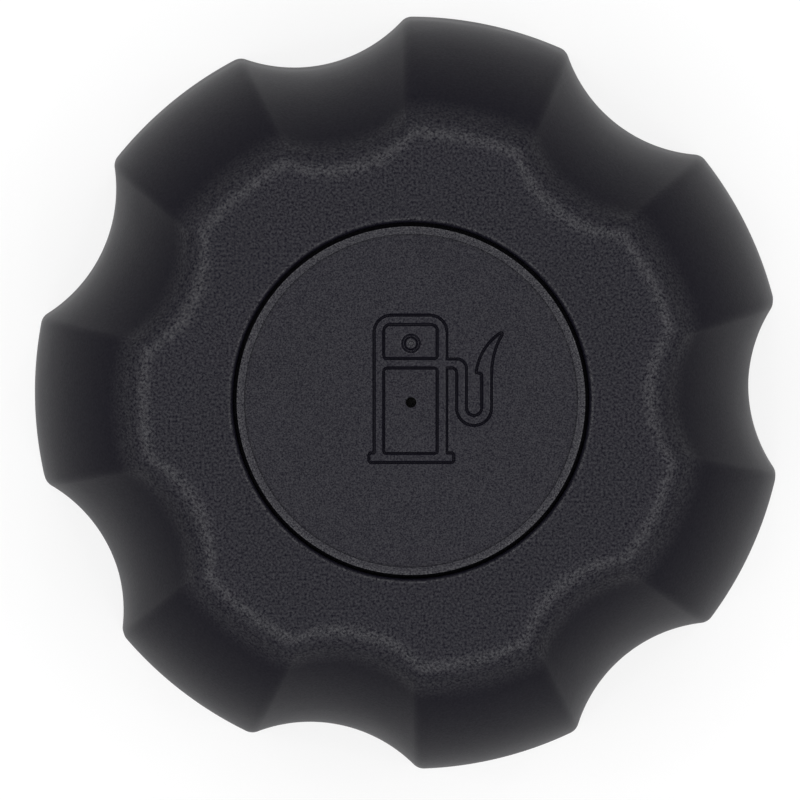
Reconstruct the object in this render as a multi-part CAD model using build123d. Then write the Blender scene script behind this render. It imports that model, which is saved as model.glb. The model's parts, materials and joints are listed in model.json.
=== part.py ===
from build123d import *
import math
import os

# Vented fuel filler cap with a torque-limiting grip.
# Millimetres and degrees. The origin is on the cap's axis in the plane of its lower rim, +Z goes up to the
# sign and +Y is the sign's upward direction.

# Grip shell, outside
LOBE_COUNT = 7
LOBE_DEPTH = 4.9
FIRST_LOBE_ANGLE = 26.63
SCALLOP_RADIUS = 19.7
RIM_DRAFT = 5.0
RIM_DRAFT_HEIGHT = 15.0
TOP_LAND = 11.47
LOBE_TOP_ROUND = 4.9
SCALLOP_TOP_ROUND = 6.0
SCALLOP_RUNOUT = 14.0
RUNOUT_LENGTH = 2.4
CREASE_BEVEL = 0.9
RIM_EDGE_BEVEL = 0.6

# Grip shell, inside
SHELL_WALL = 2.5
TOP_WALL = 2.5
RIB_THICKNESS = 1.6
RIB_SPREAD = 5.0
RIB_LIFT = 1.4
RIB_CLEARANCE = 1.8
COLLAR_WALL = 2.5
LEDGE_THICKNESS = 2.5

# Ratchet between grip and closure
TOOTH_COUNT = 36
TOOTH_DEPTH = 1.5
TOOTH_HEIGHT = 7.2
TOOTH_LIFT = 1.2
TOOTH_FACE_SLOPE = 1.0
RING_WALL = 1.7
RING_OVERLAP = 0.25
RING_HEIGHT = 13.0
PAWL_COUNT = 4
PAWL_RING_WALL = 1.3
PAWL_ARM_THICKNESS = 1.0
PAWL_ARM_ANGLE = 34.0
PAWL_RING_HEIGHT = 5.6
PAWL_TIP_ANGLE = 6.2
PAWL_ROOT_ANGLE = 3.0
PAWL_BACKLASH = 0.5
PAWL_GAP = 0.3
KEY_WIDTH = 4.0
KEY_DEPTH = 0.8

# Closure
THREAD_RADIUS = 34.0
THREAD_WALL = 2.6
CLOSURE_LIFT = 1.5
MOUTH_CHAMFER = 1.0
NECK_DEPTH = 15.4
PLATE_THICKNESS = 2.6
DRUM_RISE = 17.45
DRUM_STEP = 3.8
DRUM_WALL = 2.2
DRUM_ROOF = 2.5
HUB_BORE = 15.6
HUB_WALL = 2.6
GUSSET_COUNT = 8
GUSSET_THICKNESS = 1.8
GUSSET_TOP_DROP = 3.4
GUSSET_TOE = 0.8
FLANGE_THICKNESS = 1.2

# Neck gasket
GASKET_THICKNESS = 3.0
GASKET_GAP = 1.4
UNDERCUT_DEPTH = 0.8
GASKET_CLEARANCE = 0.2

# Sign disc
DISC_OVERHANG = 3.3
DISC_GAP = 0.5
DISC_THICKNESS = 2.2
DISC_BEAD_WIDTH = 0.9
DISC_BEAD_HEIGHT = 0.35
DISC_EDGE_BEVEL = 0.2
OPENING_EDGE_BEVEL = 0.5
VENT_RADIUS = 0.7
GATE_RADIUS = 1.2
GATE_DEPTH = 0.25
GATE_NUB_RADIUS = 0.4
GATE_OFFSET = 7.1
LEG_COUNT = 4
LEG_ANGLE = 34.0
LEG_WALL = 1.1
LEG_LENGTH = 3.7
HOOK_REACH = 0.9
HOOK_HEIGHT = 1.2
HOOK_CLEARANCE = 0.15

# Running fits
BEARING_CLEARANCE = 0.08
AXIAL_CLEARANCE = 0.1
SLIP_WASHER_THICKNESS = 1.1
SLIP_WASHER_MARGIN = 0.25

# Valve housing and screws
HOUSING_WALL = 2.5
HOUSING_FIT = 0.2
HOUSING_TAIL = 1.4
FLANGE_MARGIN = 3.0
HOUSING_FLANGE = 1.5
PARTITION_THICKNESS = 1.2
SEAT_RADIUS = 10.0
SEAT_WIDTH = 0.8
SEAT_HEIGHT = 2.4
RETAINER_SEAT_DEPTH = 1.2
SCREW_OFFSET = 1.8
SCREW_COUNT = 4
SCREW_RADIUS = 1.45
SCREW_LENGTH = 8.0
SCREW_HEAD_RADIUS = 2.7
SCREW_HEAD_HEIGHT = 1.4
SCREW_HEAD_BEVEL = 0.7
SCREW_FIT = 0.05
RECESS_SPAN = 3.4
RECESS_WIDTH = 0.8
RECESS_DEPTH = 0.8
SCREW_BOSS_RADIUS = 3.0
SCREW_BOSS_HEIGHT = 6.0
SEAL_RING_SECTION = 1.5
SEAL_RING_LIFT = 12.0
SEAL_RING_SLACK = 0.02

# Wire of both springs, with this many flats round it
WIRE_FLATS = 6

# Pressure valve
SEAL_THICKNESS = 1.2
SEAL_MARGIN = 1.4
SEAL_BORE = 4.4
PLATE_MARGIN = 0.2
VALVE_PLATE_THICKNESS = 1.4
PLATE_COLLAR_RADIUS = 7.4
PLATE_COLLAR_WALL = 1.0
PLATE_COLLAR_HEIGHT = 1.4
PLATE_SLOT_COUNT = 6
PLATE_SLOT_START = 2.6
PLATE_SLOT_END = 3.9
PLATE_SLOT_WIDTH = 1.1
SPRING_CLEARANCE = 0.75
SPRING_WIRE = 0.45
SPRING_PITCH = 1.9
CROWN_CLEARANCE = 1.15
CROWN_WALL = 1.0
CROWN_RISE = 3.0
CROWN_SLOT_COUNT = 6
CROWN_SLOT_START = 5.6
CROWN_SLOT_END = 8.4
CROWN_SLOT_WIDTH = 2.0
CROWN_EYE = 4.4

# Vacuum valve
POPPET_HEAD_RADIUS = 5.2
POPPET_HEAD_THICKNESS = 1.0
POPPET_STEM_RADIUS = 1.5
STEM_CLEARANCE = 0.3
STEM_DROP = 0.67
CLIP_RADIUS = 3.6
CLIP_THICKNESS = 0.8
CLIP_DROP = 0.5
VACUUM_SPRING_CLEARANCE = 0.82
VACUUM_SPRING_WIRE = 0.28
VACUUM_SPRING_PITCH = 1.3

# Roll-over ball and splash baffle
BALL_RADIUS = 3.0
BALL_PORT = 1.9
BALL_TRAVEL = 2.0
BALL_END_GAP = 0.03
CAGE_CLEARANCE = 0.2
CAGE_WALL = 1.2
CAGE_FLOOR = 1.0
CAGE_LIFT = 0.2
CAGE_FLANGE_RADIUS = 9.0
CAGE_FLANGE_THICKNESS = 1.0
CAGE_WINDOW_COUNT = 4
CAGE_WINDOW_WIDTH = 2.4
BAFFLE_THICKNESS = 1.2
BAFFLE_SLOT_COUNT = 6
BAFFLE_SLOT_START = 10.0
BAFFLE_SLOT_END = 12.0
BAFFLE_SLOT_LENGTH = 6.0

# Dust filter
FILTER_GAP = 0.2
FILTER_SUPPORT_THICKNESS = 0.6
FILTER_SLOT_COUNT = 10
FILTER_SLOT_START = 3.0
FILTER_SLOT_END = 12.0
FILTER_SLOT_WIDTH = 1.2

# Heights that follow, from the neck up
PLATE_UNDERSIDE = NECK_DEPTH + GASKET_THICKNESS + AXIAL_CLEARANCE
PLATE_TOP = PLATE_UNDERSIDE + PLATE_THICKNESS
DRUM_TOP = PLATE_TOP + DRUM_RISE
DRUM_ROOF_UNDERSIDE = DRUM_TOP - DRUM_ROOF
LEDGE_UNDERSIDE = DRUM_TOP + AXIAL_CLEARANCE
LEDGE_TOP = LEDGE_UNDERSIDE + LEDGE_THICKNESS
WASHER_BASE = LEDGE_TOP + AXIAL_CLEARANCE
DISC_UNDERSIDE = WASHER_BASE + SLIP_WASHER_THICKNESS + AXIAL_CLEARANCE
DISC_TOP = DISC_UNDERSIDE + DISC_THICKNESS
CAP_HEIGHT = DISC_TOP + DISC_BEAD_HEIGHT
# Heights inside the valve housing
HOUSING_BASE = PLATE_UNDERSIDE - HOUSING_FLANGE - HOUSING_TAIL
CAGE_FLOOR_TOP = HOUSING_BASE + BAFFLE_THICKNESS + CAGE_LIFT + CAGE_FLOOR
BALL_CENTRE = CAGE_FLOOR_TOP + BALL_END_GAP + BALL_RADIUS
BALL_SEAT_DROP = math.sqrt(BALL_RADIUS**2 - BALL_PORT**2)
PARTITION_BASE = BALL_CENTRE + BALL_TRAVEL + BALL_END_GAP + BALL_SEAT_DROP
PARTITION_TOP = PARTITION_BASE + PARTITION_THICKNESS
SEAT_TOP = PARTITION_TOP + SEAT_HEIGHT
VALVE_PLATE_BASE = SEAT_TOP + SEAL_THICKNESS
VALVE_PLATE_TOP = VALVE_PLATE_BASE + VALVE_PLATE_THICKNESS
CROWN_TOP = DRUM_ROOF_UNDERSIDE + CROWN_RISE
CROWN_UNDERSIDE = CROWN_TOP - CROWN_WALL
STEM_TOP = CROWN_UNDERSIDE - STEM_DROP
CLIP_BASE = STEM_TOP - CLIP_DROP - CLIP_THICKNESS
FILTER_SUPPORT_BASE = CROWN_TOP + FILTER_GAP
FILTER_BASE = FILTER_SUPPORT_BASE + FILTER_SUPPORT_THICKNESS
# Radii that follow, from the hub out
HUB_RADIUS = HUB_BORE + HUB_WALL
BEARING_RADIUS = HUB_RADIUS + BEARING_CLEARANCE
LEG_OUTER_RADIUS = HUB_BORE - HOUSING_FIT
LEG_INNER_RADIUS = LEG_OUTER_RADIUS - LEG_WALL
DISC_RADIUS = HUB_RADIUS + DISC_OVERHANG
OPENING_RADIUS = DISC_RADIUS + DISC_GAP
COLLAR_RADIUS = OPENING_RADIUS + COLLAR_WALL
DRUM_BORE = HUB_BORE + DRUM_STEP
DRUM_RADIUS = DRUM_BORE + DRUM_WALL
HOUSING_RADIUS = DRUM_BORE - HOUSING_FIT
HOUSING_BORE = HOUSING_RADIUS - HOUSING_WALL
SCREW_CIRCLE = DRUM_RADIUS + SCREW_OFFSET
FLANGE_RADIUS = SCREW_CIRCLE + FLANGE_MARGIN
GASKET_BORE = FLANGE_RADIUS + GASKET_GAP
SEAL_RADIUS = SEAT_RADIUS + SEAL_MARGIN
PLATE_RADIUS = SEAL_RADIUS + PLATE_MARGIN
SPRING_RADIUS = PLATE_COLLAR_RADIUS + SPRING_WIRE + SPRING_CLEARANCE
CROWN_BORE = SPRING_RADIUS + SPRING_WIRE + CROWN_CLEARANCE
VACUUM_SPRING_RADIUS = POPPET_STEM_RADIUS + VACUUM_SPRING_WIRE + VACUUM_SPRING_CLEARANCE
# Radii that follow, from the thread out
CLOSURE_RADIUS = THREAD_RADIUS + THREAD_WALL
PAWL_RING_BORE = CLOSURE_RADIUS + PAWL_GAP / 2
PAWL_RING_RADIUS = PAWL_RING_BORE + PAWL_RING_WALL
PAWL_ARM_BORE = PAWL_RING_RADIUS + PAWL_GAP
TOOTH_TIP_RADIUS = PAWL_ARM_BORE + PAWL_ARM_THICKNESS + PAWL_GAP
TOOTH_ROOT_RADIUS = TOOTH_TIP_RADIUS + TOOTH_DEPTH
RING_RADIUS = TOOTH_ROOT_RADIUS + RING_WALL
SCALLOP_REACH = RING_RADIUS + SHELL_WALL - RING_OVERLAP
SCALLOP_CENTRE = SCALLOP_REACH + SCALLOP_RADIUS
LOBE_RADIUS = SCALLOP_REACH + LOBE_DEPTH
# Shoulder arc of a lobe's flank: tangent to the drafted rim, and through the edge of the top face
DRAFT = math.radians(RIM_DRAFT)
RIM_TOP_RADIUS = LOBE_RADIUS - RIM_DRAFT_HEIGHT * math.tan(DRAFT)
SHOULDER_RISE = CAP_HEIGHT - RIM_DRAFT_HEIGHT
SHOULDER_SETBACK = RIM_TOP_RADIUS - OPENING_RADIUS - TOP_LAND
SHOULDER_CHORD = math.hypot(SHOULDER_RISE, SHOULDER_SETBACK)
SHOULDER_SAG = SHOULDER_SETBACK * math.cos(DRAFT) - SHOULDER_RISE * math.sin(DRAFT)
SHOULDER_RADIUS = SHOULDER_CHORD**2 / (2 * SHOULDER_SAG)

# Construction lengths: past every solid, past a cut, and into a neighbour that a solid joins
BIG = 4 * LOBE_RADIUS
OVERCUT = 1.0
FUSE = 0.3


def ring(inner, outer, base, top):
    """Flat ring between two radii and two heights, as a solid."""
    section = Pos(0, 0, base) * (Circle(outer) - Circle(inner))
    return extrude(section, top - base)


def disc(radius, base, top):
    """Plain cylinder on the cap's axis between two heights."""
    return extrude(Pos(0, 0, base) * Circle(radius), top - base)


def turned(points):
    """Solid of revolution about the cap's axis from (radius, height) corners."""
    outline = Plane.XZ * make_face(Polyline(*points, close=True))
    return revolve(outline, Axis.Z)


def polar(radius, angle):
    """Point at a radius and at an angle in degrees."""
    return (radius * math.cos(math.radians(angle)), radius * math.sin(math.radians(angle)))


def polar_face(corners):
    """Flat face with its corners given as (radius, angle)."""
    return make_face(Polyline(*[polar(radius, angle) for radius, angle in corners], close=True))


def sector(inner, outer, first, last):
    """Part of a flat ring between two angles."""
    wedge = polar_face(((0, 0), (BIG, first), (BIG, last)))
    return (Circle(outer) - Circle(inner)) & wedge


def around(count, piece, start=0.0):
    """Copies of a piece, evenly turned about the cap's axis."""
    return [Rot(0, 0, start + 360 * n / count) * piece for n in range(count)]


def slots(count, inner, outer, width, base, top):
    """Cutters for straight slots through a plate, evenly spaced, each from one radius to another."""
    middle = ((inner + outer) / 2, 0, (base + top) / 2)
    return around(count, Pos(middle) * Box(outer - inner, width, top - base + 2 * OVERCUT))


def flank_lean(height):
    """Angle of a lobe's flank from the vertical at a height on the shoulder arc, in radians."""
    return math.asin(math.sin(DRAFT) + (height - RIM_DRAFT_HEIGHT) / SHOULDER_RADIUS)


def flank_radius(height):
    """Radius of a lobe's flank: a drafted rim, then the convex shoulder arc tangent to it."""
    if height <= RIM_DRAFT_HEIGHT:
        return LOBE_RADIUS - height * math.tan(DRAFT)
    return RIM_TOP_RADIUS - SHOULDER_RADIUS * (math.cos(DRAFT) - math.cos(flank_lean(height)))


def scallop_lean(height):
    """Angle of a scallop's flank from the vertical at a height on the shoulder arc, in radians."""
    return math.atan(SCALLOP_REACH / LOBE_RADIUS * math.tan(flank_lean(height)))


def scallop_round_start():
    """Height at which a scallop's flank passes into its round on top, found by halving."""
    low, high = RIM_DRAFT_HEIGHT, CAP_HEIGHT
    for _ in range(40):
        middle = (low + high) / 2
        if middle + SCALLOP_TOP_ROUND * (1 - math.sin(scallop_lean(middle))) < CAP_HEIGHT:
            low = middle
        else:
            high = middle
    return low


def scallop_path():
    """(radius, height) stations up the middle of a scallop: flank, top round, run-out above the top."""
    start = scallop_round_start()
    lean = scallop_lean(start)
    heights = [RIM_DRAFT_HEIGHT * n / 3 for n in (-1, 1, 3)]
    heights += [RIM_DRAFT_HEIGHT + (start - RIM_DRAFT_HEIGHT) * n / 4 for n in range(1, 5)]
    stations = [(flank_radius(z) * SCALLOP_REACH / LOBE_RADIUS, z) for z in heights]
    centre_radius = stations[-1][0] - SCALLOP_TOP_ROUND * math.cos(lean)
    centre_height = start - SCALLOP_TOP_ROUND * math.sin(lean)
    last_lean = math.radians(90 - SCALLOP_RUNOUT)
    for n in range(1, 4):
        angle = lean + (last_lean - lean) * n / 3
        radius = centre_radius + SCALLOP_TOP_ROUND * math.cos(angle)
        stations.append((radius, centre_height + SCALLOP_TOP_ROUND * math.sin(angle)))
    radius, height = stations[-1]
    rise = RUNOUT_LENGTH * math.tan(math.radians(SCALLOP_RUNOUT))
    stations.append((radius - RUNOUT_LENGTH, height + rise))
    return stations


def scallop_cutter(wall=0.0):
    """Horn that cuts one scallop: the rim's scallop circle, scaled towards the axis up the path."""
    sections = []
    for radius, height in scallop_path():
        scale = radius / SCALLOP_REACH
        place = Pos(SCALLOP_CENTRE * scale, 0, height)
        sections.append(place * Circle(SCALLOP_RADIUS * scale + wall))
    return loft(sections)


def lobed_form(wall, top, base, top_round):
    """Lobed outer form, or with a wall thickness the hollow inside it, between two heights."""
    inset = wall / math.cos(DRAFT)
    start = (LOBE_RADIUS - base * math.tan(DRAFT) - inset, base)
    shoulder = (RIM_TOP_RADIUS - inset, RIM_DRAFT_HEIGHT)
    radius = SHOULDER_RADIUS - wall
    lean = math.asin(math.sin(DRAFT) + (top - RIM_DRAFT_HEIGHT) / radius)
    end = (shoulder[0] - radius * (math.cos(DRAFT) - math.cos(lean)), top)
    middle_lean = (DRAFT + lean) / 2
    middle = (
        shoulder[0] - radius * (math.cos(DRAFT) - math.cos(middle_lean)),
        RIM_DRAFT_HEIGHT + radius * (math.sin(middle_lean) - math.sin(DRAFT)),
    )
    edges = [
        Line((0, base), start),
        Line(start, shoulder),
        ThreePointArc(shoulder, middle, end),
        Line(end, (0, top)),
        Line((0, top), (0, base)),
    ]
    face = make_face(edges)
    if top_round:
        corner = face.vertices().sort_by(lambda v: (v.X - end[0]) ** 2 + (v.Y - end[1]) ** 2)[0]
        face = fillet(corner, top_round)
    return revolve(Plane.XZ * face, Axis.Z)


def scalloped(wall, top, base, top_round=0.0):
    """Lobed form with its scallops cut."""
    cutters = around(LOBE_COUNT, scallop_cutter(wall), FIRST_LOBE_ANGLE + 180 / LOBE_COUNT)
    return lobed_form(wall, top, base, top_round) - cutters


def grip_outside():
    """Scalloped outside of the grip, with its creases and its lower rim bevelled."""
    form = scalloped(0.0, CAP_HEIGHT, 0.0, LOBE_TOP_ROUND)
    creases = form.edges().filter_by(GeomType.BSPLINE).filter_by_position(Axis.Z, FUSE, CAP_HEIGHT + FUSE)
    form = chamfer(creases, CREASE_BEVEL)
    rim = form.edges().filter_by_position(Axis.Z, -FUSE / 10, FUSE / 10)
    return chamfer(rim, RIM_EDGE_BEVEL)


def ratchet_ring():
    """Ring with inward saw teeth, whose steep faces drive the pawls anticlockwise, and a plain ring above."""
    corners = []
    for n in range(TOOTH_COUNT):
        root = -360 * n / TOOTH_COUNT
        corners += [(TOOTH_ROOT_RADIUS, root), (TOOTH_TIP_RADIUS, root - TOOTH_FACE_SLOPE)]
    section = Circle(RING_RADIUS) - polar_face(corners)
    teeth = extrude(Pos(0, 0, TOOTH_LIFT) * section, TOOTH_HEIGHT)
    plain = ring(TOOTH_ROOT_RADIUS, RING_RADIUS, TOOTH_LIFT + TOOTH_HEIGHT, TOOTH_LIFT + RING_HEIGHT)
    return teeth + plain


def shell_rib():
    """One radial web of the grip: up from the ring, over the closure and in to the collar."""
    ring_top = TOOTH_LIFT + RING_HEIGHT
    points = [
        (TOOTH_ROOT_RADIUS + FUSE, RIB_LIFT),
        (BIG, RIB_LIFT),
        (BIG, CAP_HEIGHT),
        (COLLAR_RADIUS - FUSE, CAP_HEIGHT),
        (COLLAR_RADIUS - FUSE, LEDGE_UNDERSIDE),
        (CLOSURE_RADIUS + RIB_CLEARANCE, PLATE_TOP + RIB_CLEARANCE),
        (TOOTH_ROOT_RADIUS + FUSE, ring_top),
    ]
    return extrude(Plane.XZ * make_face(Polyline(*points, close=True)), RIB_THICKNESS / 2, both=True)


def grip_shell():
    """Scalloped hand grip, moulded in one piece with its teeth, ribs and centre collar."""
    outer = grip_outside()
    hollow = scalloped(SHELL_WALL, CAP_HEIGHT - TOP_WALL, -OVERCUT)
    ribs = []
    for n in range(LOBE_COUNT):
        for side in (-RIB_SPREAD, RIB_SPREAD):
            ribs.append(Rot(0, 0, FIRST_LOBE_ANGLE + 360 * n / LOBE_COUNT + side) * shell_rib())
    inside = ratchet_ring() + ribs
    shell = (outer - hollow) + (inside & outer)
    shell += ring(BEARING_RADIUS, COLLAR_RADIUS, LEDGE_UNDERSIDE, CAP_HEIGHT - TOP_WALL / 2)
    shell -= disc(OPENING_RADIUS, LEDGE_TOP, CAP_HEIGHT + OVERCUT)
    shell -= disc(BEARING_RADIUS, LEDGE_UNDERSIDE - OVERCUT, CAP_HEIGHT)
    circles = shell.edges().filter_by(GeomType.CIRCLE)
    mouth = circles.filter_by_position(Axis.Z, CAP_HEIGHT - FUSE, CAP_HEIGHT + FUSE).sort_by(SortBy.LENGTH)[-1]
    return chamfer(mouth, OPENING_EDGE_BEVEL)


def leg_arcs(inner, outer, base, top):
    """Upright sectors of a ring, one for each snap leg."""
    leg = extrude(Pos(0, 0, base) * sector(inner, outer, -LEG_ANGLE / 2, LEG_ANGLE / 2), top - base)
    return around(LEG_COUNT, leg, 180 / LEG_COUNT)


def sign_disc():
    """Centre disc with a raised rim bead, a vent hole, a gate mark and four snap legs."""
    body = disc(DISC_RADIUS, DISC_UNDERSIDE, DISC_TOP)
    body += ring(DISC_RADIUS - DISC_BEAD_WIDTH, DISC_RADIUS, DISC_TOP, CAP_HEIGHT)
    bead_edges = body.edges().filter_by_position(Axis.Z, CAP_HEIGHT - FUSE / 2, CAP_HEIGHT + FUSE / 2)
    body = chamfer(bead_edges, DISC_EDGE_BEVEL)
    body -= disc(VENT_RADIUS, 0, CAP_HEIGHT + OVERCUT)
    mark = ring(GATE_NUB_RADIUS, GATE_RADIUS, DISC_TOP - GATE_DEPTH, DISC_TOP)
    body -= Pos(0, GATE_OFFSET, 0) * mark
    foot = DISC_UNDERSIDE - LEG_LENGTH
    body += leg_arcs(LEG_INNER_RADIUS, LEG_OUTER_RADIUS, foot, DISC_UNDERSIDE)
    body += leg_arcs(LEG_INNER_RADIUS, LEG_OUTER_RADIUS + HOOK_REACH, foot, foot + HOOK_HEIGHT)
    return body


def slip_washer():
    """Acetal washer that the grip's ledge turns on."""
    return ring(
        HUB_RADIUS + SLIP_WASHER_MARGIN,
        DISC_RADIUS - SLIP_WASHER_MARGIN,
        WASHER_BASE,
        WASHER_BASE + SLIP_WASHER_THICKNESS,
    )


def gusset():
    """One web between the closure's top plate and its drum."""
    points = [
        (DRUM_RADIUS - FUSE, PLATE_TOP - FUSE),
        (CLOSURE_RADIUS - GUSSET_TOE, PLATE_TOP - FUSE),
        (CLOSURE_RADIUS - GUSSET_TOE, PLATE_TOP),
        (DRUM_RADIUS, DRUM_TOP - GUSSET_TOP_DROP),
        (DRUM_RADIUS - FUSE, DRUM_TOP - GUSSET_TOP_DROP),
    ]
    return extrude(Plane.XZ * make_face(Polyline(*points, close=True)), GUSSET_THICKNESS / 2, both=True)


def key(growth=0.0):
    """One of the closure's upright keys that hold the pawl ring from turning, or the slot for it."""
    height = TOOTH_LIFT + TOOTH_HEIGHT - CLOSURE_LIFT
    foot = (Align.CENTER, Align.CENTER, Align.MIN)
    block = Box(2 * KEY_DEPTH + growth, KEY_WIDTH + 2 * growth, height, align=foot)
    return Pos(CLOSURE_RADIUS + growth / 2, 0, CLOSURE_LIFT) * block


def closure_body():
    """Threaded closure: neck bore, gasket groove, top plate, drum with gussets and the hub tube."""
    undercut = THREAD_RADIUS + UNDERCUT_DEPTH
    profile = [
        (THREAD_RADIUS + MOUTH_CHAMFER, CLOSURE_LIFT),
        (CLOSURE_RADIUS, CLOSURE_LIFT),
        (CLOSURE_RADIUS, PLATE_TOP),
        (DRUM_RADIUS, PLATE_TOP),
        (DRUM_RADIUS, DRUM_TOP),
        (HUB_RADIUS, DRUM_TOP),
        (HUB_RADIUS, DISC_UNDERSIDE),
        (HUB_BORE, DISC_UNDERSIDE),
        (HUB_BORE, DRUM_ROOF_UNDERSIDE),
        (DRUM_BORE, DRUM_ROOF_UNDERSIDE),
        (DRUM_BORE, PLATE_UNDERSIDE),
        (undercut, PLATE_UNDERSIDE),
        (undercut, NECK_DEPTH),
        (THREAD_RADIUS, NECK_DEPTH),
        (THREAD_RADIUS, CLOSURE_LIFT + MOUTH_CHAMFER),
    ]
    body = turned(profile)
    body += around(GUSSET_COUNT, gusset(), 180 / GUSSET_COUNT)
    flange_base = TOOTH_LIFT + TOOTH_HEIGHT + PAWL_GAP
    body += ring(CLOSURE_RADIUS - FUSE, PAWL_RING_RADIUS, flange_base, flange_base + FLANGE_THICKNESS)
    body += [piece - disc(CLOSURE_RADIUS - FUSE, 0, CAP_HEIGHT) for piece in around(PAWL_COUNT, key())]
    boss = disc(SCREW_BOSS_RADIUS, PLATE_TOP - FUSE, PLATE_TOP + SCREW_BOSS_HEIGHT)
    body += around(SCREW_COUNT, Pos(SCREW_CIRCLE, 0, 0) * boss)
    hole_top = PLATE_UNDERSIDE - HOUSING_FLANGE + SCREW_LENGTH + FUSE
    hole = Pos(SCREW_CIRCLE, 0, 0) * disc(SCREW_RADIUS, PLATE_UNDERSIDE - OVERCUT, hole_top)
    body -= around(SCREW_COUNT, hole)
    body -= disc(DRUM_BORE, PLATE_UNDERSIDE, DRUM_ROOF_UNDERSIDE)
    foot = DISC_UNDERSIDE - LEG_LENGTH - HOOK_CLEARANCE
    window_top = foot + HOOK_HEIGHT + 2 * HOOK_CLEARANCE
    reach = LEG_OUTER_RADIUS + HOOK_REACH + HOOK_CLEARANCE
    body -= leg_arcs(HUB_BORE - FUSE, reach, foot, window_top)
    return body


def pawl_arm():
    """One sprung pawl, as a flat shape: an arc-shaped arm from its root to a tip that fills a tooth space."""
    arm_outer = PAWL_ARM_BORE + PAWL_ARM_THICKNESS
    ring_middle = PAWL_RING_BORE + PAWL_RING_WALL / 2
    arm = sector(PAWL_ARM_BORE, arm_outer, 0, PAWL_ARM_ANGLE)
    tip = polar_face((
        (PAWL_ARM_BORE, PAWL_BACKLASH - TOOTH_FACE_SLOPE),
        (arm_outer, PAWL_BACKLASH - TOOTH_FACE_SLOPE),
        (TOOTH_ROOT_RADIUS - PAWL_GAP, PAWL_BACKLASH),
        (arm_outer, PAWL_TIP_ANGLE),
        (PAWL_ARM_BORE, PAWL_TIP_ANGLE),
    ))
    root = polar_face((
        (ring_middle, PAWL_ARM_ANGLE - PAWL_ROOT_ANGLE),
        (arm_outer, PAWL_ARM_ANGLE - PAWL_ROOT_ANGLE / 2),
        (arm_outer, PAWL_ARM_ANGLE),
        (ring_middle, PAWL_ARM_ANGLE + PAWL_ROOT_ANGLE),
    ))
    return arm + tip + root


def pawl_ring():
    """Acetal ring keyed to the closure, with four sprung pawls round it."""
    section = Circle(PAWL_RING_RADIUS) - Circle(PAWL_RING_BORE)
    section += around(PAWL_COUNT, pawl_arm())
    base = TOOTH_LIFT + TOOTH_HEIGHT - PAWL_RING_HEIGHT
    body = extrude(Pos(0, 0, base) * section, PAWL_RING_HEIGHT)
    body -= around(PAWL_COUNT, key(PAWL_GAP / 2))
    return body


def neck_gasket():
    """Flat rubber washer in the groove at the end of the neck bore."""
    outer = THREAD_RADIUS + UNDERCUT_DEPTH - GASKET_CLEARANCE
    return ring(GASKET_BORE, outer, PLATE_UNDERSIDE - GASKET_THICKNESS, PLATE_UNDERSIDE)


def valve_housing():
    """Acetal valve housing: tube with a screw flange, partition, ball port, seat ridge and seal groove."""
    flange_base = PLATE_UNDERSIDE - HOUSING_FLANGE
    retainer_base = DRUM_ROOF_UNDERSIDE - RETAINER_SEAT_DEPTH
    profile = [
        (HOUSING_BORE, HOUSING_BASE),
        (HOUSING_RADIUS, HOUSING_BASE),
        (HOUSING_RADIUS, flange_base),
        (FLANGE_RADIUS, flange_base),
        (FLANGE_RADIUS, PLATE_UNDERSIDE),
        (HOUSING_RADIUS, PLATE_UNDERSIDE),
        (HOUSING_RADIUS, retainer_base),
        (HOUSING_BORE, retainer_base),
    ]
    body = turned(profile)
    body += ring(BALL_PORT, HOUSING_BORE + FUSE, PARTITION_BASE, PARTITION_TOP)
    body += ring(SEAT_RADIUS - SEAT_WIDTH, SEAT_RADIUS, PARTITION_TOP - FUSE, SEAT_TOP)
    groove_base = HOUSING_BASE + SEAL_RING_LIFT
    growth = 2 * SEAL_RING_SLACK
    floor = DRUM_BORE - SEAL_RING_SECTION - growth
    body -= ring(floor, BIG, groove_base, groove_base + SEAL_RING_SECTION + growth)
    hole = Pos(SCREW_CIRCLE, 0, 0) * disc(SCREW_RADIUS + HOUSING_FIT, HOUSING_BASE, PLATE_UNDERSIDE + OVERCUT)
    body -= around(SCREW_COUNT, hole)
    return body


def housing_seal():
    """Square-cut rubber ring between the housing and the drum's bore."""
    base = HOUSING_BASE + SEAL_RING_LIFT + SEAL_RING_SLACK
    outer = DRUM_BORE - SEAL_RING_SLACK
    return ring(outer - SEAL_RING_SECTION, outer, base, base + SEAL_RING_SECTION)


def housing_screws():
    """Four identical pan-head self-tapping screws, heads down."""
    flange_base = PLATE_UNDERSIDE - HOUSING_FLANGE
    head = disc(SCREW_HEAD_RADIUS, flange_base - SCREW_HEAD_HEIGHT, flange_base)
    head = chamfer(head.edges().group_by(Axis.Z)[0], SCREW_HEAD_BEVEL)
    recess = Box(RECESS_SPAN, RECESS_WIDTH, 2 * RECESS_DEPTH)
    recess += Box(RECESS_WIDTH, RECESS_SPAN, 2 * RECESS_DEPTH)
    head -= Pos(0, 0, flange_base - SCREW_HEAD_HEIGHT) * recess
    shank = disc(SCREW_RADIUS - SCREW_FIT, flange_base - FUSE, flange_base + SCREW_LENGTH)
    screw = Pos(SCREW_CIRCLE, 0, 0) * (head + shank)
    return Compound(children=[piece.solid() for piece in around(SCREW_COUNT, screw)])


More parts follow.
